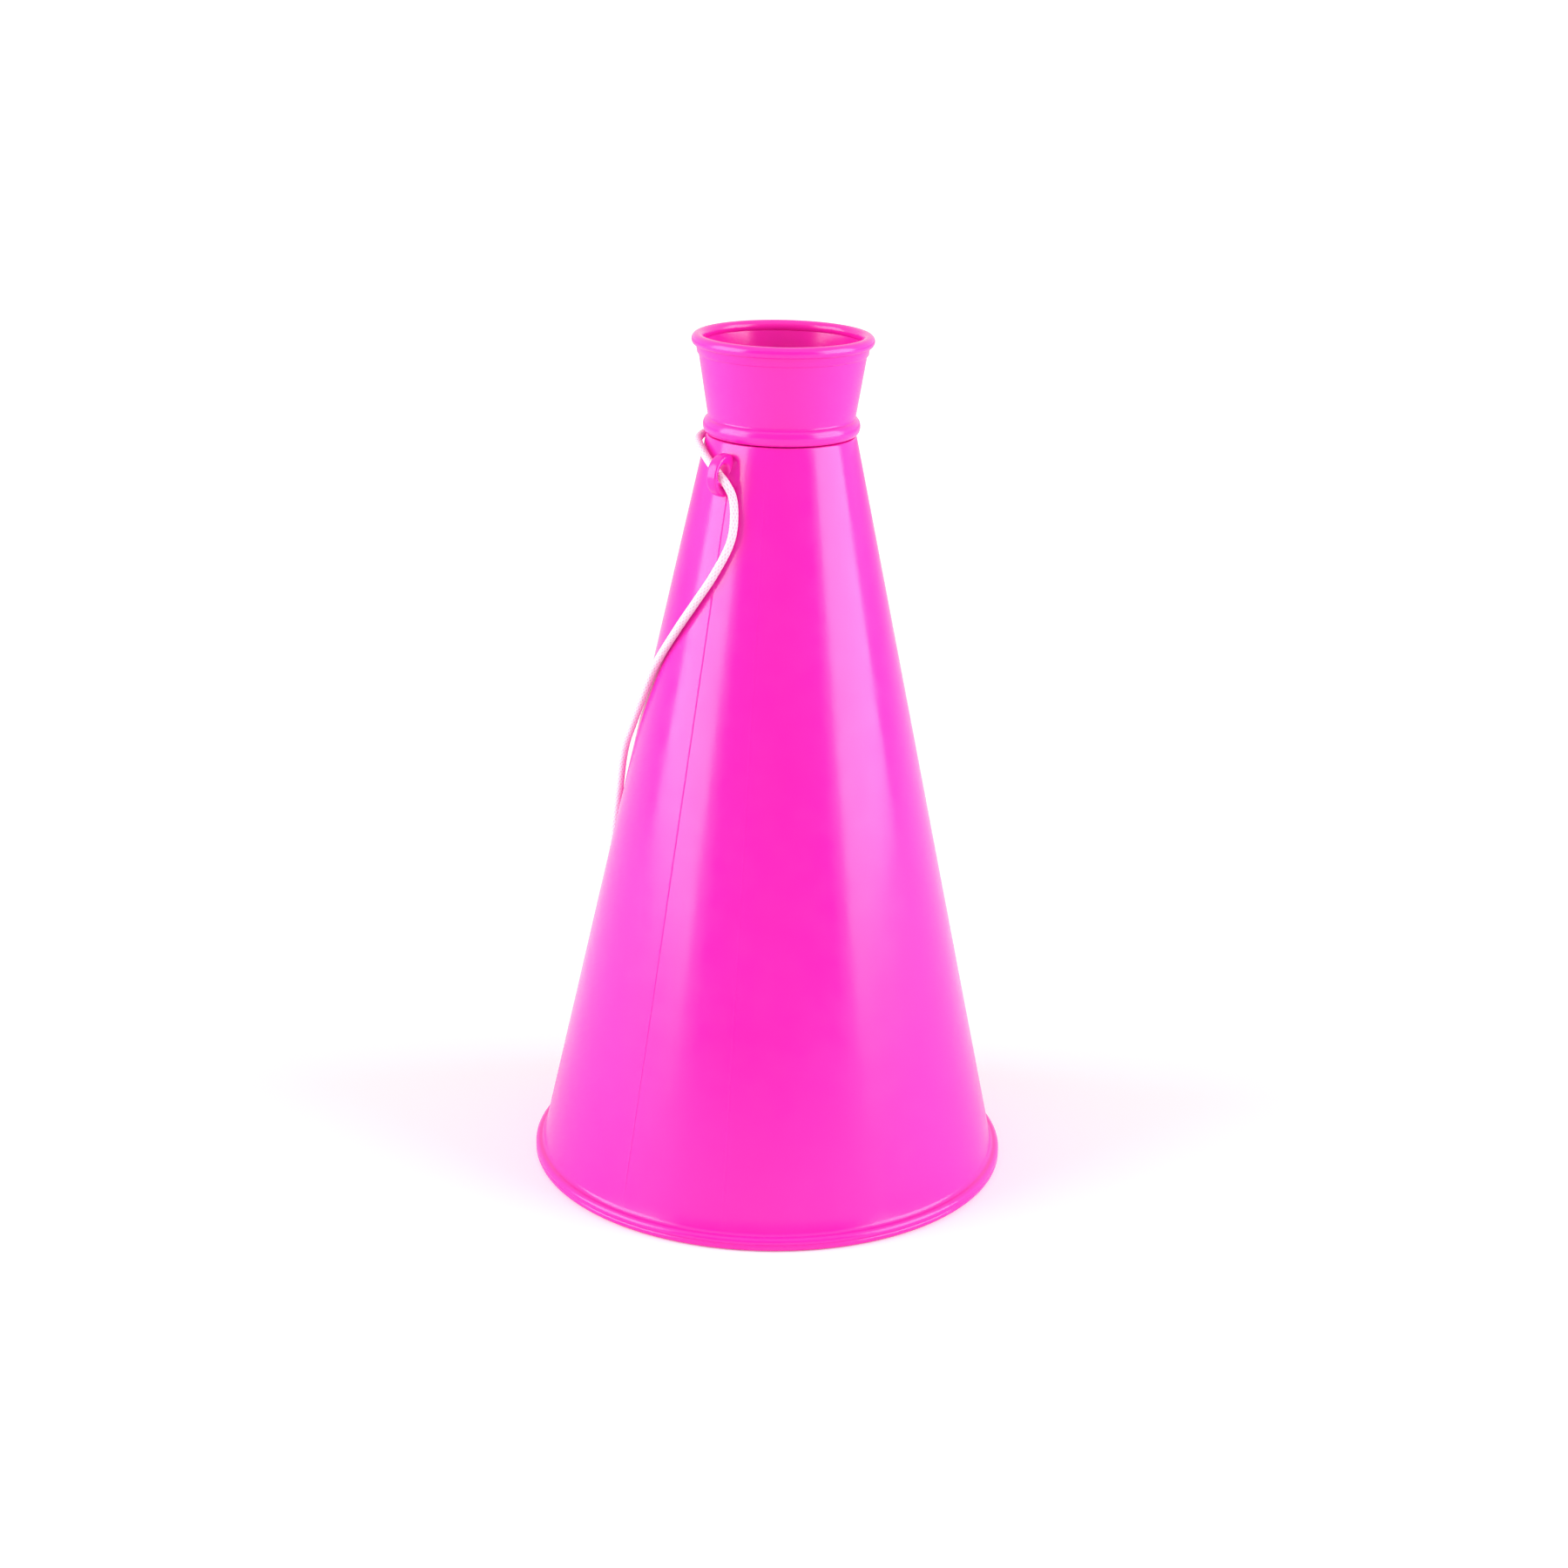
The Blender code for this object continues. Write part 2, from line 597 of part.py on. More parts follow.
def make_knot():
    """Barrel knot on the cord: four wraps side by side, and the two cut ends."""
    half = KNOT_LENGTH / 2
    end_radius = CORD_RADIUS
    stations = np.linspace(-half, half, KNOT_WRAPS * 6 + 1)
    builder = bmesh.new()
    line = [builder.verts.new((-half, 0.0, 0.0))]
    for station in stations:
        swell = math.sqrt(max(0.0, 1.0 - (station / half) ** 4))
        wrap = abs(math.sin(math.pi * KNOT_WRAPS * (station + half) / KNOT_LENGTH))
        radius = end_radius + (KNOT_CORE_RADIUS - end_radius) * swell + KNOT_WRAP_RISE * wrap
        line.append(builder.verts.new((station, 0.0, radius)))
    line.append(builder.verts.new((half, 0.0, 0.0)))
    edges = [builder.edges.new(pair) for pair in zip(line, line[1:])]
    bmesh.ops.spin(
        builder,
        geom=line + edges,
        cent=(0.0, 0.0, 0.0),
        axis=(1.0, 0.0, 0.0),
        angle=2.0 * math.pi,
        steps=16,
        use_merge=True,
    )
    bmesh.ops.remove_doubles(builder, verts=builder.verts, dist=FLOOR_GAP / 5)
    middle = knot_middle()
    bmesh.ops.translate(builder, verts=builder.verts, vec=middle)
    knot = add_object("lanyard_knot", finish_mesh(builder, "lanyard_knot"), CORD_COLOUR)
    for number, tail in enumerate(KNOT_TAILS, start=1):
        route = [middle + Vector(step) for step in tail]
        name = f"knot_tail_{number}"
        mesh = tube_mesh(name, smooth_curve(route, CORD_RADIUS * 2), CORD_RADIUS)
        combine(knot, add_guide(name, mesh), "UNION")
    return knot


def knot_middle():
    """Middle of the knot, which lies on the floor behind the bell."""
    return on_floor(KNOT_RIGHT, KNOT_BEHIND, KNOT_CORE_RADIUS + KNOT_WRAP_RISE + FLOOR_GAP)


def make_tie():
    """Thin tie round the coil at its back, with its twisted ends as one short stub."""
    half = COIL_PITCH / 2
    middle_radius = COIL_OUTER_RADIUS - COIL_PITCH * COIL_TURNS_A_LAYER / 2
    lower = CORD_RADIUS + FLOOR_GAP + coil_lift(middle_radius)
    middle = on_floor(COIL_RIGHT, COIL_BEHIND + middle_radius, lower + half)
    corners = [(half, half, 0.0), (-half, half, 90.0), (-half, -half, 180.0), (half, -half, 270.0)]
    ring = []
    for across, along, start in corners:
        turn = arc((across, along), TIE_OFFSET, TIE_OFFSET, start, start + 90.0, 5)
        ring.extend(middle + Vector((0.0, y, z)) for y, z in turn)
    tie = add_object("coil_tie", tube_mesh("coil_tie", ring, TIE_RADIUS, True), TIE_COLOUR)
    root = middle + Vector((0.0, half + TIE_OFFSET, 0.0))
    tip = root + Vector((TIE_TAIL_LENGTH * 0.5, TIE_TAIL_LENGTH * 0.8, -half))
    stub = tube_mesh("tie_stub", smooth_curve([root, (root + tip) / 2, tip], TIE_TAIL_RADIUS * 2), TIE_TAIL_RADIUS)
    combine(tie, add_guide("tie_stub", stub), "UNION")
    return tie


def make_lanyard():
    """The whole cord: from the left lug down and round to the coil, the knot and the back lug."""
    left_middle, front_leaving = lug_passage("left_lug", 1.0)
    back_middle, back_leaving = lug_passage("back_lug", -1.0)
    coil = [Vector(point) for point in make_coil()]
    step = Vector((1.0, 0.0, 0.0))
    straight = 2.0 * CORD_RADIUS
    coil_in = [coil[0] - step * (straight + TOUCH_GAP), coil[0] - step * TOUCH_GAP]
    coil_out = [coil[-1] + step * TOUCH_GAP, coil[-1] + step * (straight + TOUCH_GAP)]
    knot = knot_middle()
    knot_face = KNOT_LENGTH / 2 + TOUCH_GAP
    knot_in = [knot - step * (knot_face + straight), knot - step * knot_face]
    knot_out = [knot + step * knot_face, knot + step * (knot_face + straight)]
    neck = strand_start(left_middle, -front_leaving)
    neck += [on_wall(*point) for point in NECK_ROUTE]
    neck += reversed(strand_start(back_middle, -back_leaving))
    front = strand_start(left_middle, front_leaving)
    front += [on_wall(*point) for point in FRONT_WALL_ROUTE]
    front += [over_rim(*point) for point in FRONT_RIM_ROUTE]
    front += [on_floor(*point) for point in FRONT_FLOOR_ROUTE]
    front += coil_in
    link = coil_out + [on_floor(*point) for point in LINK_ROUTE] + knot_in
    back = knot_out + [on_floor(*point) for point in BACK_FLOOR_ROUTE]
    back += [over_rim(*point) for point in BACK_RIM_ROUTE]
    back += [on_wall(*point) for point in BACK_WALL_ROUTE]
    back += reversed(strand_start(back_middle, back_leaving))
    make_strand("lanyard_neck_strand", neck)
    make_strand("lanyard_front_strand", front)
    make_strand("lanyard_link_strand", link)
    make_strand("lanyard_back_strand", back)
    make_knot()
    make_tie()


def main():
    clear_scene()
    make_bell_cone()
    make_mouthpiece()
    make_lanyard()


main()
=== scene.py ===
"""Visual model of a plastic stadium horn: cone, mouthpiece, cord and tie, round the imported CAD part.

Metres, +Z up, front -Y. An azimuth is in degrees from the front by way of the left side to the back.
"""

import logging
import math
from dataclasses import dataclass
from enum import Enum

import bmesh
import bpy
import numpy as np
from mathutils import Matrix, Vector


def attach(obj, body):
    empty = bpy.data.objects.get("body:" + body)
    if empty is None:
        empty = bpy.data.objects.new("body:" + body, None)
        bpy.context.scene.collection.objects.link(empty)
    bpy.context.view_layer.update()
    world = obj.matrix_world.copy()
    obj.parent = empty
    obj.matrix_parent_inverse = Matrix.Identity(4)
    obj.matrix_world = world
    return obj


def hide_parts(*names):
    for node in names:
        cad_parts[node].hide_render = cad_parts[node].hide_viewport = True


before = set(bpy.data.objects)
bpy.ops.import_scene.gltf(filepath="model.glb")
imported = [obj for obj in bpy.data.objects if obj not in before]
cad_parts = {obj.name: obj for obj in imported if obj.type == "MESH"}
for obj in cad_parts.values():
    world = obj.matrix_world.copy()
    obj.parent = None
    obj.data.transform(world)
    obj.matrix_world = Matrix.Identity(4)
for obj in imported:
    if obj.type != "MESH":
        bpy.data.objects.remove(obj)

log = logging.getLogger("stadium_horn")
MM = 0.001

# A colour, or a point in metres
Triple = tuple[float, float, float]
Material = bpy.types.Material
Socket = bpy.types.NodeSocket

# Sizes that several pieces share, as in the part
HORN_HEIGHT = 210.0 * MM
SHOULDER_HEIGHT = 186.1 * MM
WALL = 1.2 * MM
CONE_BELL_RADIUS = 57.6 * MM
CONE_NECK_RADIUS = 17.9 * MM
BELL_RIM_HEIGHT = 3.4 * MM
CONE_FALL = SHOULDER_HEIGHT - BELL_RIM_HEIGHT
CONE_SPREAD = CONE_BELL_RADIUS - CONE_NECK_RADIUS
CONE_HALF_ANGLE = math.atan2(CONE_SPREAD, CONE_FALL)
BELL_RIM_OUT = 2.0 * MM
BELL_OUTER_RADIUS = CONE_BELL_RADIUS + BELL_RIM_OUT
CORD_RADIUS = 1.0 * MM
TOUCH_GAP = 0.3 * MM
CORD_LIE = CORD_RADIUS + TOUCH_GAP

# Steps of a smooth path between two points of its route
FINE_STEPS = 32

# Braid of the cord: its rise as a share of the radius, its pitch and its waves round the cord
BRAID_PITCH = 1.6 * MM
BRAID_WAVES = 8
BRAID = (0.07, BRAID_PITCH, BRAID_WAVES)

# Rounded end of a tube: its depth as a share of the radius, and its middle ring's size and depth as
# shares of the tube's ring and of that depth
TIP_DEPTH = 0.3
TIP_RING = 0.6
TIP_RING_DEPTH = 0.8

# Points closer than this are one point
MERGE_DISTANCE = 0.0005 * MM

# Cord's route, as in the part. A wall point is (azimuth, height, lift off the wall), a
# rim point (azimuth, distance out from the bell rim, height) and a floor point (x, distance behind the
# bell rim, height). Azimuths are in degrees, and the first factor turns the rest from mm to metres.
ROUTE_UNITS = np.array((1.0, MM, MM))
NECK_ROUTE = ROUTE_UNITS * (
    (55.0, 181.7, 0.5),
    (66.0, 183.2, 0.3),
    (78.0, 184.1, 0.2),
    (92.0, 184.5, 0.15),
    (110.0, 184.7, 0.1),
    (130.0, 184.7, 0.1),
    (150.0, 184.6, 0.1),
    (170.0, 184.4, 0.1),
    (187.0, 183.8, 0.15),
    (199.0, 182.6, 0.4),
)
FRONT_WALL_ROUTE = ROUTE_UNITS * (
    (30.6, 174.5, 0.0),
    (27.6, 168.5, 0.0),
    (28.7, 163.9, 0.0),
    (36.2, 156.4, 0.0),
    (45.2, 149.5, 0.0),
    (54.9, 142.4, 0.0),
    (70.5, 130.7, 0.0),
    (78.5, 121.9, 0.0),
    (86.0, 114.0, 0.2),
    (91.0, 108.5, 0.6),
    (95.0, 103.1, 0.6),
    (99.5, 95.1, 0.2),
    (104.5, 86.0, 0.0),
    (111.0, 72.0, 0.0),
    (119.0, 55.0, 0.0),
    (128.5, 38.0, 0.0),
    (138.0, 22.0, 0.0),
    (144.5, 11.5, 0.1),
)
FRONT_RIM_ROUTE = ROUTE_UNITS * ((147.5, 0.8, 5.0), (148.8, 2.3, 2.6), (149.6, 4.8, 1.2))
FRONT_FLOOR_ROUTE = MM * np.array(
    (
        (-35.0, 1.2, 1.05),
        (-33.4, 6.6, 1.05),
        (-27.4, 9.5, 1.05),
        (-19.5, 9.3, 1.05),
        (-14.3, 8.9, 1.05),
    )
)
LINK_ROUTE = MM * np.array(
    (
        (-5.7, 8.9, 3.55),
        (-3.0, 9.0, 3.45),
        (3.0, 9.9, 3.1),
        (6.9, 10.4, 2.75),
        (13.5, 10.4, 2.75),
        (20.1, 10.4, 2.75),
    )
)
BACK_FLOOR_ROUTE = MM * np.array(((22.4, 10.2, 2.2), (27.2, 7.8, 1.3), (29.6, 3.2, 1.05)))
BACK_RIM_ROUTE = ROUTE_UNITS * ((205.4, 4.6, 1.2), (206.2, 2.3, 2.6), (207.0, 0.8, 5.0))
BACK_WALL_ROUTE = ROUTE_UNITS * (
    (208.6, 11.5, 0.1),
    (211.0, 24.0, 0.0),
    (214.5, 45.0, 0.0),
    (218.5, 70.0, 0.0),
    (222.5, 95.0, 0.0),
    (226.5, 120.0, 0.0),
    (230.0, 142.0, 0.0),
    (232.5, 158.0, 0.0),
    (232.8, 167.0, 0.0),
    (229.4, 174.5, 0.0),
)

# Cut ends of the knot's yarn, from the knot's middle
KNOT_FIRST_END = MM * np.array(((-5.2, 7.4, -1.6), (-4.6, 5.6, -1.3), (-4.0, 3.8, -0.8)))
KNOT_LAST_END = MM * np.array(((3.7, -3.6, -0.8), (4.0, -5.8, -1.3), (4.2, -7.8, -1.6)))


class Slot(Enum):
    """Material slots of the record."""

    PLASTIC = "pink_plastic"
    CORD = "cord"
    TIE = "tie_wire"


class Body(Enum):
    """Bodies that the pieces ride on."""

    CONE = "cone_body"
    MOUTHPIECE = "mouthpiece_body"


@dataclass
class Surface:
    """Points, quads and corner coordinates of a grid."""

    points: np.ndarray
    quads: np.ndarray
    corners: np.ndarray


def grid_surface(
    grid: np.ndarray,
    rows_closed: bool = False,
    inside_out: bool = False,
    size: tuple[float, float] = (1.0, 1.0),
) -> Surface:
    """Quads over a grid whose columns close on themselves.

    Each quad joins a point with the next ones down its column and along its row, wrapped round.

    Args:
        grid: Points as rows by columns by three.
        rows_closed: Whether the last row meets the first one.
        inside_out: Whether the quads turn the other way.
        size: What the corner coordinates reach along the rows and round the columns.

    Returns:
        The surface.
    """
    rows, columns = grid.shape[:2]
    strips = rows if rows_closed else rows - 1
    row, column = np.meshgrid(np.arange(strips), np.arange(columns), indexing="ij")
    below = (row + 1) % rows
    beside = (column + 1) % columns
    quads = np.stack(
        (
            row * columns + column,
            below * columns + column,
            below * columns + beside,
            row * columns + beside,
        ),
        axis=-1,
    )
    along = np.stack((row, row + 1, row + 1, row), axis=-1) * size[0] / strips
    around = np.stack((column, column, column + 1, column + 1), axis=-1) * size[1] / columns
    corners = np.stack((along, around), axis=-1)
    if inside_out:
        quads = quads[..., ::-1]
        corners = corners[..., ::-1, :]
    return Surface(grid.reshape(-1, 3), quads.reshape(-1, 4), corners.reshape(-1, 2))


def make_piece(
    name: str,
    surfaces: list[Surface],
    material: Material,
    body: Body,
    sharp_angle: float = 40.0,
) -> bpy.types.Object:
    """Mesh object made of grids, with its material and body.

    Args:
        name: Name of the piece.
        surfaces: The grids that it is made of.
        material: Its finish.
        body: The body that it rides on.
        sharp_angle: Angle in degrees past which an edge stays sharp.

    Returns:
        The object, at the origin, unturned and unscaled.
    """
    starts = np.cumsum([0] + [len(part.points) for part in surfaces[:-1]])
    points = np.vstack([part.points for part in surfaces])
    quads = np.vstack([part.quads + start for part, start in zip(surfaces, starts)])
    corners = np.vstack([part.corners for part in surfaces])
    mesh = bpy.data.meshes.new(name)
    mesh.vertices.add(len(points))
    mesh.vertices.foreach_set("co", points.astype(np.float32).ravel())
    mesh.loops.add(quads.size)
    mesh.loops.foreach_set("vertex_index", quads.astype(np.int32).ravel())
    mesh.polygons.add(len(quads))
    mesh.polygons.foreach_set("loop_start", np.arange(0, quads.size, 4, dtype=np.int32))
    mesh.update(calc_edges=True)
    mesh.uv_layers.new(name="UVMap").data.foreach_set("uv", corners.astype(np.float32).ravel())
    builder = bmesh.new()
    builder.from_mesh(mesh)
    bmesh.ops.remove_doubles(builder, verts=builder.verts, dist=MERGE_DISTANCE)
    builder.to_mesh(mesh)
    volume = builder.calc_volume(signed=True)
    builder.free()
    mesh.shade_smooth()
    mesh.set_sharp_from_angle(angle=math.radians(sharp_angle))
    mesh.materials.append(material)
    piece = bpy.data.objects.new(name, mesh)
    bpy.context.scene.collection.objects.link(piece)
    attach(piece, body.value)
    log.info("%s: %d faces, %.0f mm3 inside", name, len(mesh.polygons), volume / MM**3)
    return piece


def arc(
    centre: tuple, half_width: float, half_height: float, start: float, end: float, steps: int
) -> np.ndarray:
    """Points of an ellipse's arc.

    A point is the centre plus the half width times the angle's cosine and the half height times
    its sine.

    Args:
        centre: Radius and height of the ellipse's centre.
        half_width: Half of its width.
        half_height: Half of its height.
        start: First angle in degrees, where 0 is outwards and 90 is up.
        end: Last angle in degrees.
        steps: Number of steps between them.

    Returns:
        Rows of (radius, height), one more than the steps.
    """
    angles = np.radians(np.linspace(start, end, steps + 1))
    radius = centre[0] + half_width * np.cos(angles)
    height = centre[1] + half_height * np.sin(angles)
    return np.column_stack((radius, height))


def full_turn(count: int) -> np.ndarray:
    """Even angles round one full turn, in radians."""
    return np.linspace(0.0, 2.0 * math.pi, count, endpoint=False)


def distance_along(path: np.ndarray) -> np.ndarray:
    """Distance of each point of a path from its start, along the path."""
    return np.concatenate(([0.0], np.cumsum(np.linalg.norm(np.diff(path, axis=0), axis=1))))


def outward(azimuth: np.ndarray) -> np.ndarray:
    """Unit vectors that point away from the horn's axis at azimuths in degrees."""
    angle = np.radians(azimuth)
    return np.stack((-np.sin(angle), -np.cos(angle), np.zeros_like(angle)), axis=-1)


def turned_grid(
    profile: np.ndarray, azimuths: np.ndarray, relief: np.ndarray | float = 0.0
) -> np.ndarray:
    """Profile turned round the horn's axis.

    A point is the outward vector at its azimuth times its radius plus relief, at its height.

    Args:
        profile: Rows of (radius, height).
        azimuths: The columns' azimuths, falling, so that the faces point outwards.
        relief: Growth of the radius, as rows by columns.

    Returns:
        Points as rows by columns by three.
    """
    radius = profile[:, 0][:, None] + relief + np.zeros((len(profile), len(azimuths)))
    grid = outward(azimuths)[None, :, :] * radius[:, :, None]
    grid[:, :, 2] = profile[:, 1][:, None]
    return grid


def wall_radius(height: np.ndarray | float) -> np.ndarray | float:
    """Outside radius of the cone's straight wall at a height."""
    return CONE_NECK_RADIUS + CONE_SPREAD * (SHOULDER_HEIGHT - height) / CONE_FALL


def placed(azimuth: np.ndarray, radius: np.ndarray, height: np.ndarray) -> np.ndarray:
    """Points at azimuths in degrees, radii from the horn's axis and heights."""
    return outward(azimuth) * radius[:, None] + height[:, None] * np.array((0.0, 0.0, 1.0))


def on_wall(route: np.ndarray) -> np.ndarray:
    """Middles of a cord that lies on the cone, from rows of (azimuth, height, lift)."""
    stand_off = (CORD_LIE + route[:, 2]) / math.cos(CONE_HALF_ANGLE)
    return placed(route[:, 0], wall_radius(route[:, 1]) + stand_off, route[:, 1])


def over_rim(route: np.ndarray) -> np.ndarray:
    """Middles of a cord that passes over the bell rim, from rows of (azimuth, out, height)."""
    return placed(route[:, 0], BELL_OUTER_RADIUS + route[:, 1], route[:, 2])


def on_floor(route: np.ndarray) -> np.ndarray:
    """Middles of a cord that lies behind the bell."""
    return route + (0.0, BELL_OUTER_RADIUS, 0.0)


def smooth_path(route: np.ndarray, spacing: float) -> np.ndarray:
    """Even points on a centripetal Catmull-Rom curve through a route.

    Between two points the curve is a cubic. Its slopes come from the points before and after, each
    weighed by the square root of its distance.

    Args:
        route: Points that the curve passes through.
        spacing: Distance between the new points.

    Returns:
        The new points.
    """
    knots = np.vstack((2.0 * route[0] - route[1], route, 2.0 * route[-1] - route[-2]))
    before, start, end, after = knots[:-3], knots[1:-2], knots[2:-1], knots[3:]

    def distance(first: np.ndarray, second: np.ndarray) -> np.ndarray:
        """Distances between matching points, as a column."""
        return np.linalg.norm(second - first, axis=1, keepdims=True)

    reach_in = np.sqrt(distance(before, start) / distance(start, end))
    reach_out = np.sqrt(distance(end, after) / distance(start, end))
    slope_in = (start - before) / reach_in - (end - before) / (reach_in + 1.0) + (end - start)
    slope_out = (end - start) - (after - start) / (reach_out + 1.0) + (after - end) / reach_out
    share = np.linspace(0.0, 1.0, FINE_STEPS, endpoint=False)[:, None, None]
    rise = 3.0 * share**2 - 2.0 * share**3
    fine = (
        start * (1.0 - rise)
        + end * rise
        + slope_in * (share**3 - 2.0 * share**2 + share)
        + slope_out * (share**3 - share**2)
    )
    fine = np.vstack((fine.transpose(1, 0, 2).reshape(-1, 3), route[-1:]))
    run = distance_along(fine)
    stations = np.linspace(0.0, run[-1], int(round(run[-1] / spacing)) + 1)
    return np.column_stack([np.interp(stations, run, fine[:, axis]) for axis in range(3)])


def tube_surface(
    path: np.ndarray,
    radius: np.ndarray | float,
    side: np.ndarray,
    sides: int,
    closed: bool = False,
    relief: tuple[float, float, int] | None = None,
) -> Surface:
    """Round tube along a path, with rounded ends unless it is closed.

    A ring is path + radius * (cos a * side + sin a * tangent x side). A braid lifts the ring where
    either of two crossing waves, round and along the tube, is near its crest.

    Args:
        path: Centre line.
        radius: Radius, the same all along or one a point.
        side: Directions that are never along the path, one a point or one for all.
        sides: Points round the tube.
        closed: Whether the path's end meets its start.
        relief: Braid's rise as a share of the radius, its pitch and its waves round the tube.

    Returns:
        The surface, with corner coordinates in metres along and round the tube.
    """
    if closed:
        tangent = np.roll(path, -1, axis=0) - np.roll(path, 1, axis=0)
    else:
        tangent = np.gradient(path, axis=0)
    tangent /= np.linalg.norm(tangent, axis=1, keepdims=True)
    side = np.broadcast_to(side, path.shape)
    first = side - np.sum(side * tangent, axis=1, keepdims=True) * tangent
    first /= np.linalg.norm(first, axis=1, keepdims=True)
    second = np.cross(tangent, first)
    angle = full_turn(sides)
    run = distance_along(path)
    swell = np.ones((len(path), sides)) * np.reshape(radius, (-1, 1))
    if relief:
        rise, pitch, waves = relief
        turn = waves * angle[None, :] / 2.0
        travel = math.pi * run[:, None] / pitch
        crest = np.maximum(np.abs(np.cos(turn + travel)), np.abs(np.cos(turn - travel)))
        swell *= 1.0 - rise + rise * crest
    cosine = np.cos(angle)[None, :, None]
    sine = np.sin(angle)[None, :, None]
    ring = cosine * first[:, None, :] + sine * second[:, None, :]
    grid = path[:, None, :] + swell[:, :, None] * ring
    if not closed:
        depth = float(np.max(swell[0])) * TIP_DEPTH
        lead = [path[0] - tangent[0] * depth, path[-1] + tangent[-1] * depth]
        tips = [np.broadcast_to(tip, (sides, 3))[None] for tip in lead]
        first_ring = grid[:1] * TIP_RING + path[0] * (1.0 - TIP_RING)
        last_ring = grid[-1:] * TIP_RING + path[-1] * (1.0 - TIP_RING)
        first_ring = first_ring - tangent[0] * depth * TIP_RING_DEPTH
        last_ring = last_ring + tangent[-1] * depth * TIP_RING_DEPTH
        grid = np.concatenate((tips[0], first_ring, grid, last_ring, tips[1]))
    girth = 2.0 * math.pi * float(np.max(swell))
    return grid_surface(grid, closed, True, (float(run[-1]), girth))


class NodeSheet:
    """Node tree of one material, with a short way to add nodes."""

    def __init__(self, name: str) -> None:
        """Start a material with its shader and output.

        Args:
            name: Name of the material.
        """
        self.material = bpy.data.materials.new(name)
        self.material.use_nodes = True
        self.tree = self.material.node_tree
        self.shader = self.tree.nodes["Principled BSDF"]

    def add(self, kind: str, inputs: dict, **settings: object) -> bpy.types.Node:
        """Add a node.

        Args:
            kind: Blender's name for the node's type.
            inputs: Values or sockets by the input's name or number.
            **settings: The node's own properties.

        Returns:
            The node.
        """
        node = self.tree.nodes.new(kind)
        for key, value in settings.items():
            setattr(node, key, value)
        for key, value in inputs.items():
            self.put(node, key, value)
        return node

    def put(self, node: bpy.types.Node, key: str | int, value: object) -> None:
        """Set an input, or link it where the value is a socket.

        Args:
            node: The node.
            key: The input's name or number.
            value: A value or a socket.
        """
        if isinstance(value, Socket):
            self.tree.links.new(value, node.inputs[key])
        else:
            node.inputs[key].default_value = value

    def noise(self, place: Socket, scale: float, detail: float) -> Socket:
        """Noise from 0 to 1 at a scale in features a metre."""
        inputs = {"Vector": place, "Scale": scale, "Detail": detail}
        return self.add("ShaderNodeTexNoise", inputs).outputs[0]

    def math(self, operation: str, first: object, second: object = 0.0) -> Socket:
        """Result of one sum on two numbers or sockets."""
        return self.add("ShaderNodeMath", {0: first, 1: second}, operation=operation).outputs[0]

    def spread(self, value: Socket, low: float, high: float) -> Socket:
        """Noise's usual range, 0.3 to 0.7, spread over another range."""
        inputs = {"Value": value, "From Min": 0.3, "From Max": 0.7, "To Min": low, "To Max": high}
        return self.add("ShaderNodeMapRange", inputs).outputs[0]

    def blend(self, share: Socket, first: Triple, second: Triple) -> Socket:
        """Colour between two colours, which are the Mix node's inputs 6 and 7."""
        inputs = {0: share, 6: (*first, 1.0), 7: (*second, 1.0)}
        return self.add("ShaderNodeMix", inputs, data_type="RGBA").outputs[2]

    def bump(self, height: Socket, strength: float, depth: float) -> Socket:
        """Surface normal raised by a height."""
        inputs = {"Height": height, "Strength": strength, "Distance": depth}
        return self.add("ShaderNodeBump", inputs).outputs[0]


@dataclass(frozen=True)
class GlossyPlastic:
    """Injection-moulded pink plastic: glossy, with faint flow marks, waviness and light scuffs.

    The scales are features a metre.
    """

    flow_colour: Triple = (0.93, 0.012, 0.44)
    colour: Triple = (0.98, 0.02, 0.50)
    least_roughness: float = 0.15
    most_roughness: float = 0.24
    refraction: float = 1.49
    flow_scale: float = 24.0
    scuff_scale: float = 160.0
    wave_scale: float = 210.0
    grain_scale: float = 2400.0
    grain_share: float = 0.12
    relief_strength: float = 0.08
    relief_depth: float = 0.25 * MM

    def material(self, name: str) -> Material:
        """Material of this finish.

        Args:
            name: Name of the material.

        Returns:
            The material.
        """
        sheet = NodeSheet(name)
        place = sheet.add("ShaderNodeTexCoord", {}).outputs["Object"]
        flow = sheet.noise(place, self.flow_scale, 3.0)
        scuff = sheet.noise(place, self.scuff_scale, 6.0)
        wave = sheet.noise(place, self.wave_scale, 1.0)
        grain = sheet.noise(place, self.grain_scale, 2.0)
        relief = sheet.math("ADD", wave, sheet.math("MULTIPLY", grain, self.grain_share))
        shader = sheet.shader
        sheet.put(shader, "Base Color", sheet.blend(flow, self.flow_colour, self.colour))
        sheet.put(shader, "Roughness", sheet.spread(scuff, self.least_roughness, self.most_roughness))
        sheet.put(shader, "Normal", sheet.bump(relief, self.relief_strength, self.relief_depth))
        shader.inputs["IOR"].default_value = self.refraction
        return sheet.material


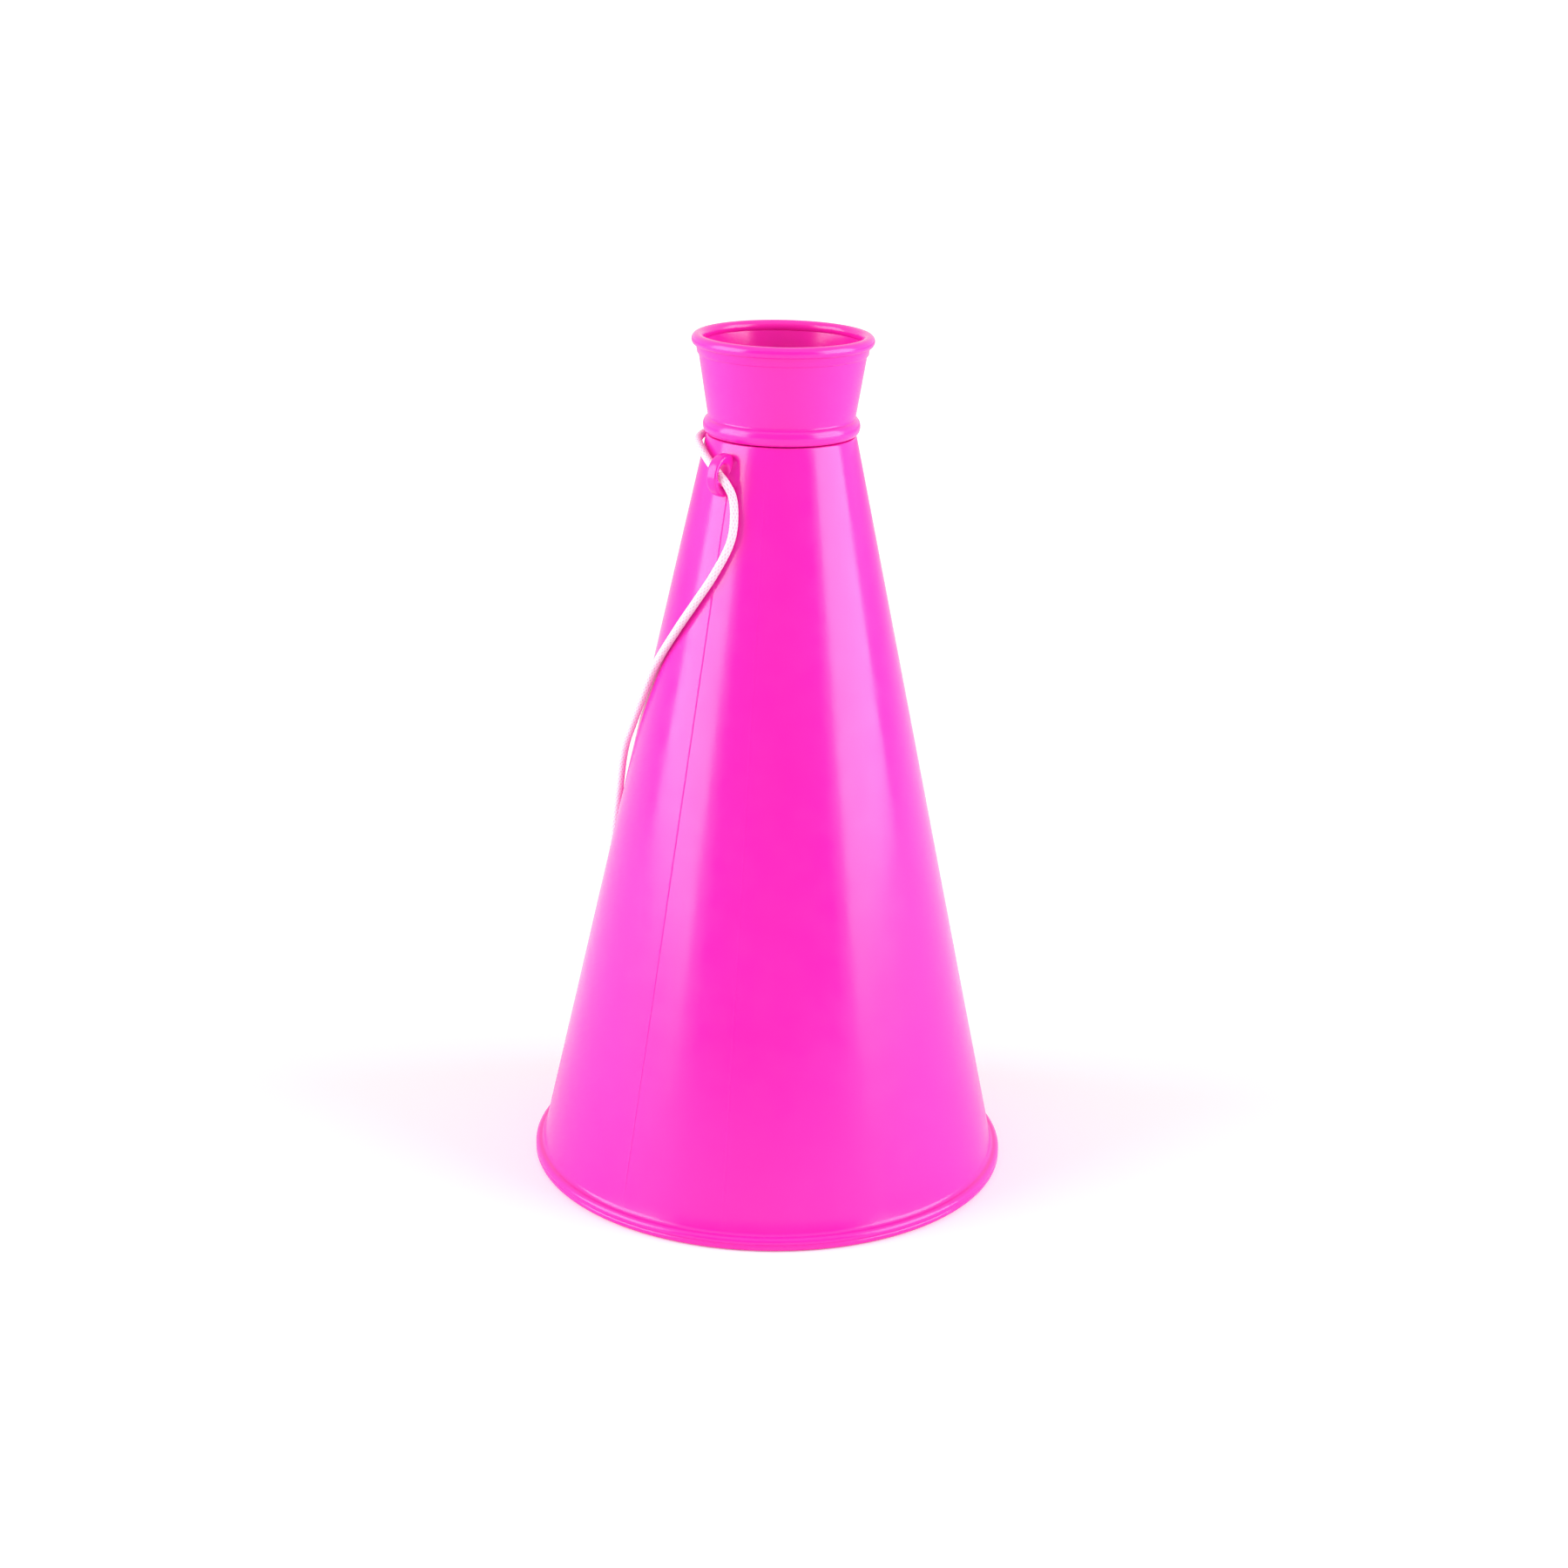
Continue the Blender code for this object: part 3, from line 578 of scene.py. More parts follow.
@dataclass(frozen=True)
class BraidedCord:
    """Pale synthetic cord, braided from fine yarns that cross each other."""

    crest_colour: Triple = (0.95, 0.80, 0.88)
    # Painted shade: colour of the braid's grooves, darker than the yarn as though in shadow
    painted_groove_shade: Triple = (0.76, 0.48, 0.64)
    pitch: float = BRAID_PITCH
    waves: int = BRAID_WAVES
    least_roughness: float = 0.62
    most_roughness: float = 0.82
    sheen: float = 0.25
    fibre_scale: float = 5200.0
    fibre_share: float = 0.3
    relief_strength: float = 0.5
    relief_depth: float = 0.12 * MM

    def material(self, name: str) -> Material:
        """Material of this finish.

        The braid is the higher of two crossing waves, which follow the cord's own coordinates, in
        metres along and round it. The colour darkens towards the grooves, which is painted shade.

        Args:
            name: Name of the material.

        Returns:
            The material.
        """
        sheet = NodeSheet(name)
        own = sheet.add("ShaderNodeUVMap", {}, uv_map="UVMap").outputs[0]
        place = sheet.add("ShaderNodeTexCoord", {}).outputs["Object"]
        parts = sheet.add("ShaderNodeSeparateXYZ", {"Vector": own})
        along = sheet.math("MULTIPLY", parts.outputs["X"], math.pi / self.pitch)
        around = sheet.math("MULTIPLY", parts.outputs["Y"], self.waves / 2.0 / CORD_RADIUS)
        rising = sheet.math("ABSOLUTE", sheet.math("COSINE", sheet.math("ADD", along, around)))
        falling = sheet.math("ABSOLUTE", sheet.math("COSINE", sheet.math("SUBTRACT", along, around)))
        crest = sheet.math("MAXIMUM", rising, falling)
        fibres = sheet.noise(place, self.fibre_scale, 2.0)
        height = sheet.math("ADD", crest, sheet.math("MULTIPLY", fibres, self.fibre_share))
        share = sheet.math("POWER", crest, 2.0)
        shader = sheet.shader
        # Colour darkens from the crests into the grooves: painted shade in the braid's recesses
        sheet.put(shader, "Base Color", sheet.blend(share, self.painted_groove_shade, self.crest_colour))
        sheet.put(shader, "Roughness", sheet.spread(fibres, self.least_roughness, self.most_roughness))
        sheet.put(shader, "Normal", sheet.bump(height, self.relief_strength, self.relief_depth))
        shader.inputs["Sheen Weight"].default_value = self.sheen
        return sheet.material


@dataclass(frozen=True)
class CoatedWire:
    """Wire tie in a thin off-white plastic skin, a little creased by twisting, with painted shade
    darkening its creases.
    """

    colour: Triple = (0.88, 0.88, 0.86)
    # Painted shade: darker colour given to the hollows of the creases
    painted_crease_shade: Triple = (0.78, 0.78, 0.77)
    least_roughness: float = 0.42
    most_roughness: float = 0.6
    crease_scale: float = 900.0
    relief_strength: float = 0.3
    relief_depth: float = 0.08 * MM

    def material(self, name: str) -> Material:
        """Material of this finish.

        Args:
            name: Name of the material.

        Returns:
            The material.
        """
        sheet = NodeSheet(name)
        place = sheet.add("ShaderNodeTexCoord", {}).outputs["Object"]
        crease_and_shade = sheet.noise(place, self.crease_scale, 3.0)
        shader = sheet.shader
        # Colour darkens where the crease relief is low: painted shade in the creases
        sheet.put(shader, "Base Color", sheet.blend(crease_and_shade, self.painted_crease_shade, self.colour))
        sheet.put(shader, "Roughness", sheet.spread(crease_and_shade, self.least_roughness, self.most_roughness))
        sheet.put(shader, "Normal", sheet.bump(crease_and_shade, self.relief_strength, self.relief_depth))
        return sheet.material


@dataclass
class BellCone:
    """Thin cone with its spigot, shoulder, rolled bell rim and two mould lines."""

    spigot_radius: float = 15.9 * MM
    spigot_length: float = 6.0 * MM
    spigot_chamfer: float = 0.4 * MM
    shoulder_thickness: float = 1.4 * MM
    edge_rounding: float = 0.3 * MM
    wall_start: float = 0.6 * MM
    wall_end: float = 0.9 * MM
    wall_rows: int = 60
    fillet_height: float = 0.4 * MM
    fillet_swell: float = 0.08 * MM
    fillet_knee_out: float = 0.35 * MM
    fillet_out: float = 0.6 * MM
    rim_rounding: float = 1.1 * MM
    rim_line_depth: float = 0.16 * MM
    rim_line_half: float = 0.3 * MM
    rim_line_floor_half: float = 0.1 * MM
    foot_chamfer: float = 0.2 * MM
    steps: int = 288
    edge_steps: int = 4
    rim_steps: int = 7
    parting_azimuth: float = 37.5
    parting_rise: float = 0.10 * MM
    parting_width: float = 0.30 * MM
    second_azimuth: float = 10.5
    second_rise: float = 0.035 * MM
    second_width: float = 0.45 * MM
    line_foot: float = 6.0 * MM
    line_top: float = 183.0 * MM
    line_fade: float = 4.0 * MM
    wall_band: float = 0.05 * MM
    line_reach: float = 1.1
    line_columns: int = 17

    def profile(self) -> np.ndarray:
        """Section of the cone, down the outside and up the inside.

        The wall is straight, the bell rim is two quarter rounds with a fine line between them, and
        the spigot is straight too.

        Returns:
            Rows of (radius, height).
        """
        top = SHOULDER_HEIGHT + self.spigot_length
        bore = self.spigot_radius - WALL
        chamfer = self.spigot_chamfer
        underside = SHOULDER_HEIGHT - self.shoulder_thickness
        edge = (CONE_NECK_RADIUS - self.edge_rounding, SHOULDER_HEIGHT - self.edge_rounding)
        outer = BELL_OUTER_RADIUS
        rim_middle = outer - self.rim_rounding
        upper = (rim_middle, BELL_RIM_HEIGHT - self.rim_rounding)
        lower = (rim_middle, self.rim_rounding)
        wall_top = SHOULDER_HEIGHT - self.wall_start
        heights = np.linspace(wall_top, BELL_RIM_HEIGHT + self.wall_end, self.wall_rows)
        wall = np.column_stack((wall_radius(heights), heights))
        lean = math.degrees(CONE_HALF_ANGLE)
        slant = WALL / math.cos(CONE_HALF_ANGLE)
        fillet_top = BELL_RIM_HEIGHT + self.fillet_height
        fillet = [
            (wall_radius(fillet_top) + self.fillet_swell, fillet_top),
            (CONE_BELL_RADIUS + self.fillet_knee_out, BELL_RIM_HEIGHT + self.fillet_swell),
            (CONE_BELL_RADIUS + self.fillet_out, BELL_RIM_HEIGHT),
        ]
        line_middle = BELL_RIM_HEIGHT / 2
        line_floor = outer - self.rim_line_depth
        line = [
            (outer, line_middle + self.rim_line_half),
            (line_floor, line_middle + self.rim_line_floor_half),
            (line_floor, line_middle - self.rim_line_floor_half),
            (outer, line_middle - self.rim_line_half),
        ]
        foot_radius = wall_radius(0.0) - slant + self.foot_chamfer
        inside_foot = wall_radius(self.foot_chamfer) - slant
        return np.vstack(
            (
                [(self.spigot_radius - chamfer, top), (self.spigot_radius, top - chamfer)],
                [(self.spigot_radius, SHOULDER_HEIGHT)],
                arc(edge, self.edge_rounding, self.edge_rounding, 90.0, lean, self.edge_steps),
                wall,
                fillet,
                arc(upper, self.rim_rounding, self.rim_rounding, 90.0, 0.0, self.rim_steps),
                line,
                arc(lower, self.rim_rounding, self.rim_rounding, 0.0, -90.0, self.rim_steps),
                [(foot_radius, 0.0), (inside_foot, self.foot_chamfer)],
                [(wall_radius(underside) - slant, underside), (bore, underside), (bore, top)],
            )
        )

    def line_relief(self, profile: np.ndarray, azimuths: np.ndarray) -> np.ndarray:
        """Rise of the two mould lines on the outside of the wall.

        Each line is a bell curve across its own width, fading out near the shoulder and the rim.

        Args:
            profile: Rows of (radius, height).
            azimuths: The columns' azimuths.

        Returns:
            The rise, as rows by columns.
        """
        radius = profile[:, 0][:, None]
        height = profile[:, 1][:, None]
        outside = np.abs(radius - wall_radius(height)) < self.wall_band
        fade_low = np.clip((height - self.line_foot) / self.line_fade, 0.0, 1.0)
        fade_high = np.clip((self.line_top - height) / self.line_fade, 0.0, 1.0)
        relief = np.zeros((len(profile), len(azimuths)))
        lines = (
            (self.parting_azimuth, self.parting_rise, self.parting_width),
            (self.second_azimuth, self.second_rise, self.second_width),
        )
        for azimuth, rise, width in lines:
            across = np.radians(azimuths - azimuth)[None, :] * radius
            relief += rise * np.exp(-((across / (width / 2)) ** 2))
        return relief * (fade_low * fade_high) * outside

    def azimuths(self) -> np.ndarray:
        """Even azimuths, with close ones at the mould lines.

        Returns:
            The azimuths in degrees, falling.
        """
        even = np.arange(self.steps) * 360.0 / self.steps
        close = np.linspace(-1.0, 1.0, self.line_columns) ** 3 * self.line_reach
        extra = np.concatenate([line + close for line in (self.parting_azimuth, self.second_azimuth)])
        every = np.unique(np.round(np.concatenate((even, extra)), 4))
        return every[::-1]

    def build(self, material: Material) -> bpy.types.Object:
        """Make the cone, which stands for the CAD cone.

        Args:
            material: Its finish.

        Returns:
            The cone.
        """
        profile = self.profile()
        azimuths = self.azimuths()
        grid = turned_grid(profile, azimuths, self.line_relief(profile, azimuths))
        surface = grid_surface(grid, True)
        cone = make_piece("bell_shell", [surface], material, Body.CONE, sharp_angle=32.0)
        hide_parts("bell_cone")
        return cone


@dataclass
class CordLug:
    """Moulded lug with a hole for the cord, on a low pad that blends it into the wall."""

    name: str
    azimuth: float
    drop: float = 7.2 * MM
    reach: float = 5.9 * MM
    height: float = 10.2 * MM
    thickness: float = 2.9 * MM
    hole_out: float = 2.9 * MM
    hole_width: float = 3.6 * MM
    hole_height: float = 5.2 * MM
    pad_width: float = 9.2 * MM
    pad_height: float = 10.6 * MM
    pad_rise: float = 1.1 * MM
    root: float = 0.6 * MM
    squareness: float = 0.5
    cord_slope: float = 35.0
    loop_steps: int = 72
    section_steps: int = 28
    pad_rings: int = 12
    pad_spokes: int = 64
    pad_edge_drop: float = WALL / 6
    pad_sink: float = WALL / 2

    def centre_height(self) -> float:
        """Height of the lug's middle."""
        return SHOULDER_HEIGHT - self.drop

    def frame(self) -> tuple[np.ndarray, np.ndarray, np.ndarray, np.ndarray]:
        """Place of the lug on the wall.

        Returns:
            The lug's middle, and unit vectors out of the wall, through the hole and up the wall.
        """
        out = outward(np.array(self.azimuth))
        up = np.array((0.0, 0.0, 1.0))
        normal = out * math.cos(CONE_HALF_ANGLE) + up * math.sin(CONE_HALF_ANGLE)
        along = up * math.cos(CONE_HALF_ANGLE) - out * math.sin(CONE_HALF_ANGLE)
        base = out * wall_radius(self.centre_height()) + up * self.centre_height()
        return base, normal, np.cross(along, normal), along

    def passage(self, side: float) -> tuple[np.ndarray, np.ndarray]:
        """Middle of the hole, and the way that the cord hangs out of it.

        Args:
            side: 1 for the side of the smaller azimuth, -1 for the other one.

        Returns:
            The middle and a unit vector.
        """
        base, normal, across, along = self.frame()
        slope = math.radians(self.cord_slope)
        leaving = across * side * math.cos(slope) - along * math.sin(slope)
        return base + normal * self.hole_out, leaving

    def loop(self) -> Surface:
        """Loop of the lug.

        One angle goes round the loop, between an oval hole and an outline of two half ellipses.
        The other goes round its section, a rounded box: signed powers of its cosine and sine.

        Returns:
            The surface.
        """
        turn = full_turn(self.loop_steps)[:, None]
        section = full_turn(self.section_steps)[None, :]
        middle = WALL
        half_reach = np.where(np.cos(turn) > 0.0, self.reach - middle, middle + self.root)
        outer_x = middle + half_reach * np.cos(turn)
        outer_z = self.height / 2 * np.sin(turn)
        inner_x = self.hole_out + self.hole_width / 2 * np.cos(turn)
        inner_z = self.hole_height / 2 * np.sin(turn)
        cosine = np.sign(np.cos(section)) * np.abs(np.cos(section)) ** self.squareness
        sine = np.sign(np.sin(section)) * np.abs(np.sin(section)) ** self.squareness
        share = 0.5 + 0.5 * cosine
        x = inner_x + (outer_x - inner_x) * share
        z = inner_z + (outer_z - inner_z) * share
        y = self.thickness / 2 * sine + np.zeros_like(x)
        base, normal, across, along = self.frame()
        grid = base + x[..., None] * normal + y[..., None] * across + z[..., None] * along
        return grid_surface(grid, True, True)

    def pad(self) -> Surface:
        """Low dome that follows the wall.

        A share goes from its middle to its edge. The rise is the square of one less the share
        squared, and the edge drops a little into the wall.

        Returns:
            The surface.
        """
        top = np.linspace(0.0, 1.0, self.pad_rings)
        share = np.concatenate((top, [1.0, 0.0]))[:, None]
        rise = self.pad_rise * (1.0 - top**2) ** 2 - self.pad_edge_drop * top**2
        rise = np.concatenate((rise, [-self.pad_sink, -self.pad_sink]))[:, None]
        turn = full_turn(self.pad_spokes)[None, :]
        across = share * np.cos(turn) * self.pad_width / 2
        along = share * np.sin(turn) * self.pad_height / 2
        height = self.centre_height() + along * math.cos(CONE_HALF_ANGLE)
        bearing = outward(self.azimuth + np.degrees(across / wall_radius(self.centre_height())))
        radius = wall_radius(height) + rise * math.cos(CONE_HALF_ANGLE)
        grid = bearing * radius[..., None]
        grid[..., 2] = height + rise * math.sin(CONE_HALF_ANGLE)
        return grid_surface(grid, False, True)

    def build(self, material: Material) -> bpy.types.Object:
        """Make the lug."""
        surfaces = [self.loop(), self.pad()]
        return make_piece(
            self.name, surfaces, material, Body.CONE, sharp_angle=50.0
        )


@dataclass
class Mouthpiece:
    """Flared speaking cup with a rolled mouth rim, a stepped band under it and a collar bead."""

    foot: float = 186.4 * MM
    base_radius: float = 17.54 * MM
    top_radius: float = 20.45 * MM
    bead_out: float = 1.2 * MM
    bead_height: float = 3.8 * MM
    rim_out: float = 1.2 * MM
    rim_in: float = 0.5 * MM
    rim_height: float = 2.9 * MM
    socket_radius: float = 16.2 * MM
    socket_top: float = 192.7 * MM
    band_height: float = 1.7 * MM
    band_out: float = 0.35 * MM
    band_gap: float = 0.25 * MM
    band_edge: float = 0.15 * MM
    band_edge_share: float = 0.7
    band_step: float = 0.1 * MM
    cup_start: float = 0.4 * MM
    cup_end: float = 0.5 * MM
    cup_rows: int = 14
    bead_ease_out: float = 0.05 * MM
    bead_ease_up: float = 0.15 * MM
    floor_ease_in: float = 0.5 * MM
    floor_ease_up: float = 0.3 * MM
    inside_margin: float = 0.8 * MM
    rim_last_angle: float = -42.0
    bead_first_angle: float = 82.0
    steps: int = 240
    arc_steps: int = 16
    inner_arc_steps: int = 10

    def profile(self) -> np.ndarray:
        """Section of the mouthpiece, down the outside and up the inside.

        The mouth rim and the collar bead are arcs of ellipses, and the cup between them is a
        straight flare with one band stepped out of it.

        Returns:
            Rows of (radius, height).
        """
        rim_half = (self.rim_out + WALL + self.rim_in) / 2
        rim_middle = (self.top_radius + self.rim_out - rim_half, HORN_HEIGHT - self.rim_height / 2)
        inner = self.top_radius - WALL
        bead_top = self.foot + self.bead_height
        flare = (self.top_radius - self.base_radius) / (rim_middle[1] - bead_top)
        band_foot = HORN_HEIGHT - self.rim_height - self.band_height
        floor = self.socket_top + 2 * WALL

        def cup_radius(height: float) -> float:
            """Outside radius of the cup at a height."""
            return self.base_radius + flare * (height - bead_top)

        heights = np.linspace(band_foot - self.cup_start, bead_top + self.cup_end, self.cup_rows)
        cup = np.column_stack((cup_radius(heights), heights))
        band_top = band_foot + self.band_height
        band = [
            (cup_radius(band_top) + self.band_out, band_top + self.band_gap),
            (cup_radius(band_foot) + self.band_out, band_foot + self.band_edge),
            (cup_radius(band_foot) + self.band_out * self.band_edge_share, band_foot),
            (cup_radius(band_foot), band_foot - self.band_step),
        ]
        bead = (self.base_radius, self.foot + self.bead_height / 2)
        inside_foot = floor + self.inside_margin
        inside_top = rim_middle[1] - self.inside_margin
        inside_heights = np.linspace(inside_foot, inside_top, self.cup_rows)
        inside = np.column_stack((cup_radius(inside_heights) - WALL, inside_heights))
        floor_radius = cup_radius(floor) - WALL
        inner_meeting = 360.0 - math.degrees(math.acos((inner - rim_middle[0]) / rim_half))
        half_rim = self.rim_height / 2
        half_bead = self.bead_height / 2
        return np.vstack(
            (
                arc(rim_middle, rim_half, half_rim, 90.0, self.rim_last_angle, self.arc_steps),
                band,
                cup,
                [(cup_radius(bead_top) + self.bead_ease_out, bead_top + self.bead_ease_up)],
                arc(bead, self.bead_out, half_bead, self.bead_first_angle, -90.0, self.arc_steps),
                [(self.socket_radius, self.foot), (self.socket_radius, self.socket_top)],
                [(floor_radius - self.floor_ease_in, floor), (floor_radius, floor + self.floor_ease_up)],
                inside,
                arc(rim_middle, rim_half, half_rim, inner_meeting, 90.0, self.inner_arc_steps)[:-1],
            )
        )

    def build(self, material: Material) -> bpy.types.Object:
        """Make the mouthpiece, which stands for the CAD one.

        Args:
            material: Its finish.

        Returns:
            The mouthpiece.
        """
        azimuths = np.arange(self.steps)[::-1] * 360.0 / self.steps
        surface = grid_surface(turned_grid(self.profile(), azimuths), True)
        cup = make_piece(
            "speaking_cup", [surface], material, Body.MOUTHPIECE, sharp_angle=50.0
        )
        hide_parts("mouthpiece")
        return cup


@dataclass
class CarryingCord:
    """One limp cord through both lugs, wound up behind the bell, with its knot and the coil's tie."""

    left_lug: CordLug
    back_lug: CordLug
    length: float = 0.82
    spacing: float = 0.4 * MM
    straight_in_lug: float = 2.8 * MM
    sides: int = 20
    coil_middle: tuple[float, float] = (-10.0 * MM, 82.0 * MM)
    coil_radius: float = 13.5 * MM
    coil_pitch: float = 2.5 * MM
    coil_turns: int = 2
    coil_points: int = 24
    floor_gap: float = 0.05 * MM
    knot_middle: Triple = (13.5 * MM, 70.0 * MM, 2.75 * MM)
    knot_wrap_radius: float = 1.7 * MM
    knot_wraps: float = 3.3
    knot_pitch: float = 2.0 * MM
    knot_points: int = 60
    knot_spacing: float = 0.35 * MM
    knot_sides: int = 16
    tie_radius: float = 0.45 * MM
    tie_middle: Triple = (-10.0 * MM, 93.0 * MM, 3.39 * MM)
    tie_points: int = 48
    tie_sides: int = 12
    twist_root: Triple = (-10.0 * MM, 96.1 * MM, 3.39 * MM)
    twist_tip: Triple = (-6.5 * MM, 101.4 * MM, 2.14 * MM)
    twist_turns: float = 2.5
    twist_radius: float = 0.36 * MM
    twist_points: int = 60
    wire_radius: float = 0.34 * MM
    wire_sides: int = 10
    blend_foot: float = 2.0 * MM
    blend_run: float = 8.0 * MM

    def lift(self, offset: np.ndarray) -> np.ndarray:
        """Height that the coil's turns gain towards its back, where they lie on the tie's lower run."""
        raised = TOUCH_GAP + 2.0 * self.tie_radius
        return raised * (1.0 + offset / self.coil_radius) / 2.0

    def coil(self) -> np.ndarray:
        """Centre line of the coil.

        Its radius falls by one pitch a turn in the lower layer and grows again in the upper one.

        Returns:
            The points.
        """
        turns = 2 * self.coil_turns
        turn = np.linspace(0.0, turns, turns * self.coil_points + 1)
        angle = 2.0 * math.pi * turn - math.pi / 2
        radius = self.coil_radius - self.coil_pitch * (self.coil_turns - np.abs(turn - self.coil_turns))
        climb = np.clip(2.0 * (turn - self.coil_turns) + 0.5, 0.0, 1.0)
        offset = radius * np.sin(angle)
        height = CORD_RADIUS + self.floor_gap + self.coil_pitch * climb + self.lift(offset)
        across = self.coil_middle[0] + radius * np.cos(angle)
        return np.column_stack((across, self.coil_middle[1] + offset, height))

    def route(self) -> np.ndarray:
        """Even points along the whole cord, from the left lug's hole round to the same hole.

        Returns:
            The points.
        """
        left_middle, left_leaving = self.left_lug.passage(1.0)
        back_middle, back_leaving = self.back_lug.passage(-1.0)
        half_gap = TOUCH_GAP / 2
        route = np.vstack(
            (
                left_middle + left_leaving * half_gap,
                left_middle + left_leaving * self.straight_in_lug,
                on_wall(FRONT_WALL_ROUTE),
                over_rim(FRONT_RIM_ROUTE),
                on_floor(FRONT_FLOOR_ROUTE),
                self.coil(),
                on_floor(LINK_ROUTE),
                on_floor(BACK_FLOOR_ROUTE),
                over_rim(BACK_RIM_ROUTE),
                on_wall(BACK_WALL_ROUTE),
                back_middle + back_leaving * self.straight_in_lug,
                back_middle,
                back_middle - back_leaving * self.straight_in_lug,
                on_wall(NECK_ROUTE[::-1]),
                left_middle - left_leaving * self.straight_in_lug,
                left_middle - left_leaving * half_gap,
            )
        )
        return smooth_path(route, self.spacing)

    def surface_side(self, path: np.ndarray) -> np.ndarray:
        """Directions off what the cord lies on: up on the floor, away from the axis on the wall.

        Args:
            path: Points of the cord.

        Returns:
            One direction a point.
        """
        away = path * (1.0, 1.0, 0.0)
        away /= np.linalg.norm(away, axis=1, keepdims=True)
        share = np.clip((path[:, 2:] - self.blend_foot) / self.blend_run, 0.0, 1.0)
        wall_share = share * share * (3.0 - 2.0 * share)
        return away * wall_share + np.array((0.0, 0.0, 1.0)) * (1.0 - wall_share)

    def knot_path(self) -> np.ndarray:
        """Path of the knot's own yarn: one cut end, a helix round the cord, the other cut end.

        Returns:
            The points.
        """
        middle = np.array(self.knot_middle)
        turn = np.linspace(0.0, self.knot_wraps, self.knot_points)
        angle = 2.0 * math.pi * turn
        along = (turn - self.knot_wraps / 2) * self.knot_pitch
        round_y = self.knot_wrap_radius * np.cos(angle)
        round_z = self.knot_wrap_radius * np.sin(angle)
        wrap = np.column_stack((along, round_y, round_z))
        yarn = np.vstack((KNOT_FIRST_END, wrap, KNOT_LAST_END))
        return smooth_path(yarn + middle, self.knot_spacing)

    def build_cord(self, material: Material) -> tuple[bpy.types.Object, np.ndarray]:
        """Make the cord, which stands for the CAD strands and coil.

        Args:
            material: The cord's finish.

        Returns:
            The cord and its centre line.
        """
        path = self.route()
        side = self.surface_side(path)
        surface = tube_surface(path, CORD_RADIUS, side, self.sides, relief=BRAID)
        cord = make_piece("carrying_cord", [surface], material, Body.CONE, sharp_angle=180.0)
        strands = ("neck", "front", "link", "back")
        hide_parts("lanyard_coil", *[f"lanyard_{strand}_strand" for strand in strands])
        return cord, path

    def build_knot(self, material: Material) -> bpy.types.Object:
        """Make the knot, which stands for the CAD one.

        Args:
            material: Its finish.

        Returns:
            The knot.
        """
        path = self.knot_path()
        tangent = np.gradient(path, axis=0)
        # The nudge keeps the cross product off zero where the yarn points at the knot's middle
        nudge = np.array((0.0, 0.0, 0.01 * MM))
        side = np.cross(tangent, path - np.array(self.knot_middle) + nudge)
        surface = tube_surface(path, CORD_RADIUS, side, self.knot_sides, relief=BRAID)
        knot = make_piece("cord_knot", [surface], material, Body.CONE, sharp_angle=180.0)
        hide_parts("lanyard_knot")
        return knot

    def build_tie(self, material: Material) -> bpy.types.Object:
        """Make the tie, which stands for the CAD one: a ring round the coil and two twisted ends.

        The ring is a circle with a straight run of one pitch on each of its four sides. Each end is
        a helix round the line from the twist's root to its tip, and they are half a turn apart.

        Args:
            material: Its finish.

        Returns:
            The tie.
        """
        turn = full_turn(self.tie_points)
        corner = np.column_stack((np.zeros(self.tie_points), np.cos(turn), np.sin(turn)))
        straight = np.sign(np.round(corner, 9)) * self.coil_pitch / 2
        reach = CORD_RADIUS + TOUCH_GAP + self.tie_radius
        ring = np.array(self.tie_middle) + corner * reach + straight
        sideways = np.array((1.0, 0.0, 0.0))
        pieces = [tube_surface(ring, self.tie_radius, sideways, self.tie_sides, closed=True)]
        root = np.array(self.twist_root)
        tip = np.array(self.twist_tip)
        share = np.linspace(0.0, 1.0, self.twist_points)[:, None]
        axis = (tip - root) / np.linalg.norm(tip - root)
        level = np.cross(axis, (0.0, 0.0, 1.0))
        level /= np.linalg.norm(level)
        rise = np.cross(level, axis)
        for start in (0.0, math.pi):
            angle = share * 2.0 * math.pi * self.twist_turns + start
            off_line = (level * np.cos(angle) + rise * np.sin(angle)) * self.twist_radius
            wire = root + (tip - root) * share + off_line
            pieces.append(tube_surface(wire, self.wire_radius, rise, self.wire_sides))
        tie = make_piece("coil_wire_tie", pieces, material, Body.CONE, sharp_angle=60.0)
        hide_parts("coil_tie")
        return tie

    def build(self, cord_material: Material, tie_material: Material) -> None:
        """Make the cord and the pieces on it, and log the cord's length.

        Args:
            cord_material: Finish of the cord and its knot.
            tie_material: Finish of the tie.
        """
        cord, path = self.build_cord(cord_material)
        knot = self.build_knot(cord_material)
        tie = self.build_tie(tie_material)
        log.info("carrying_cord: %.3f m long", distance_along(path)[-1])


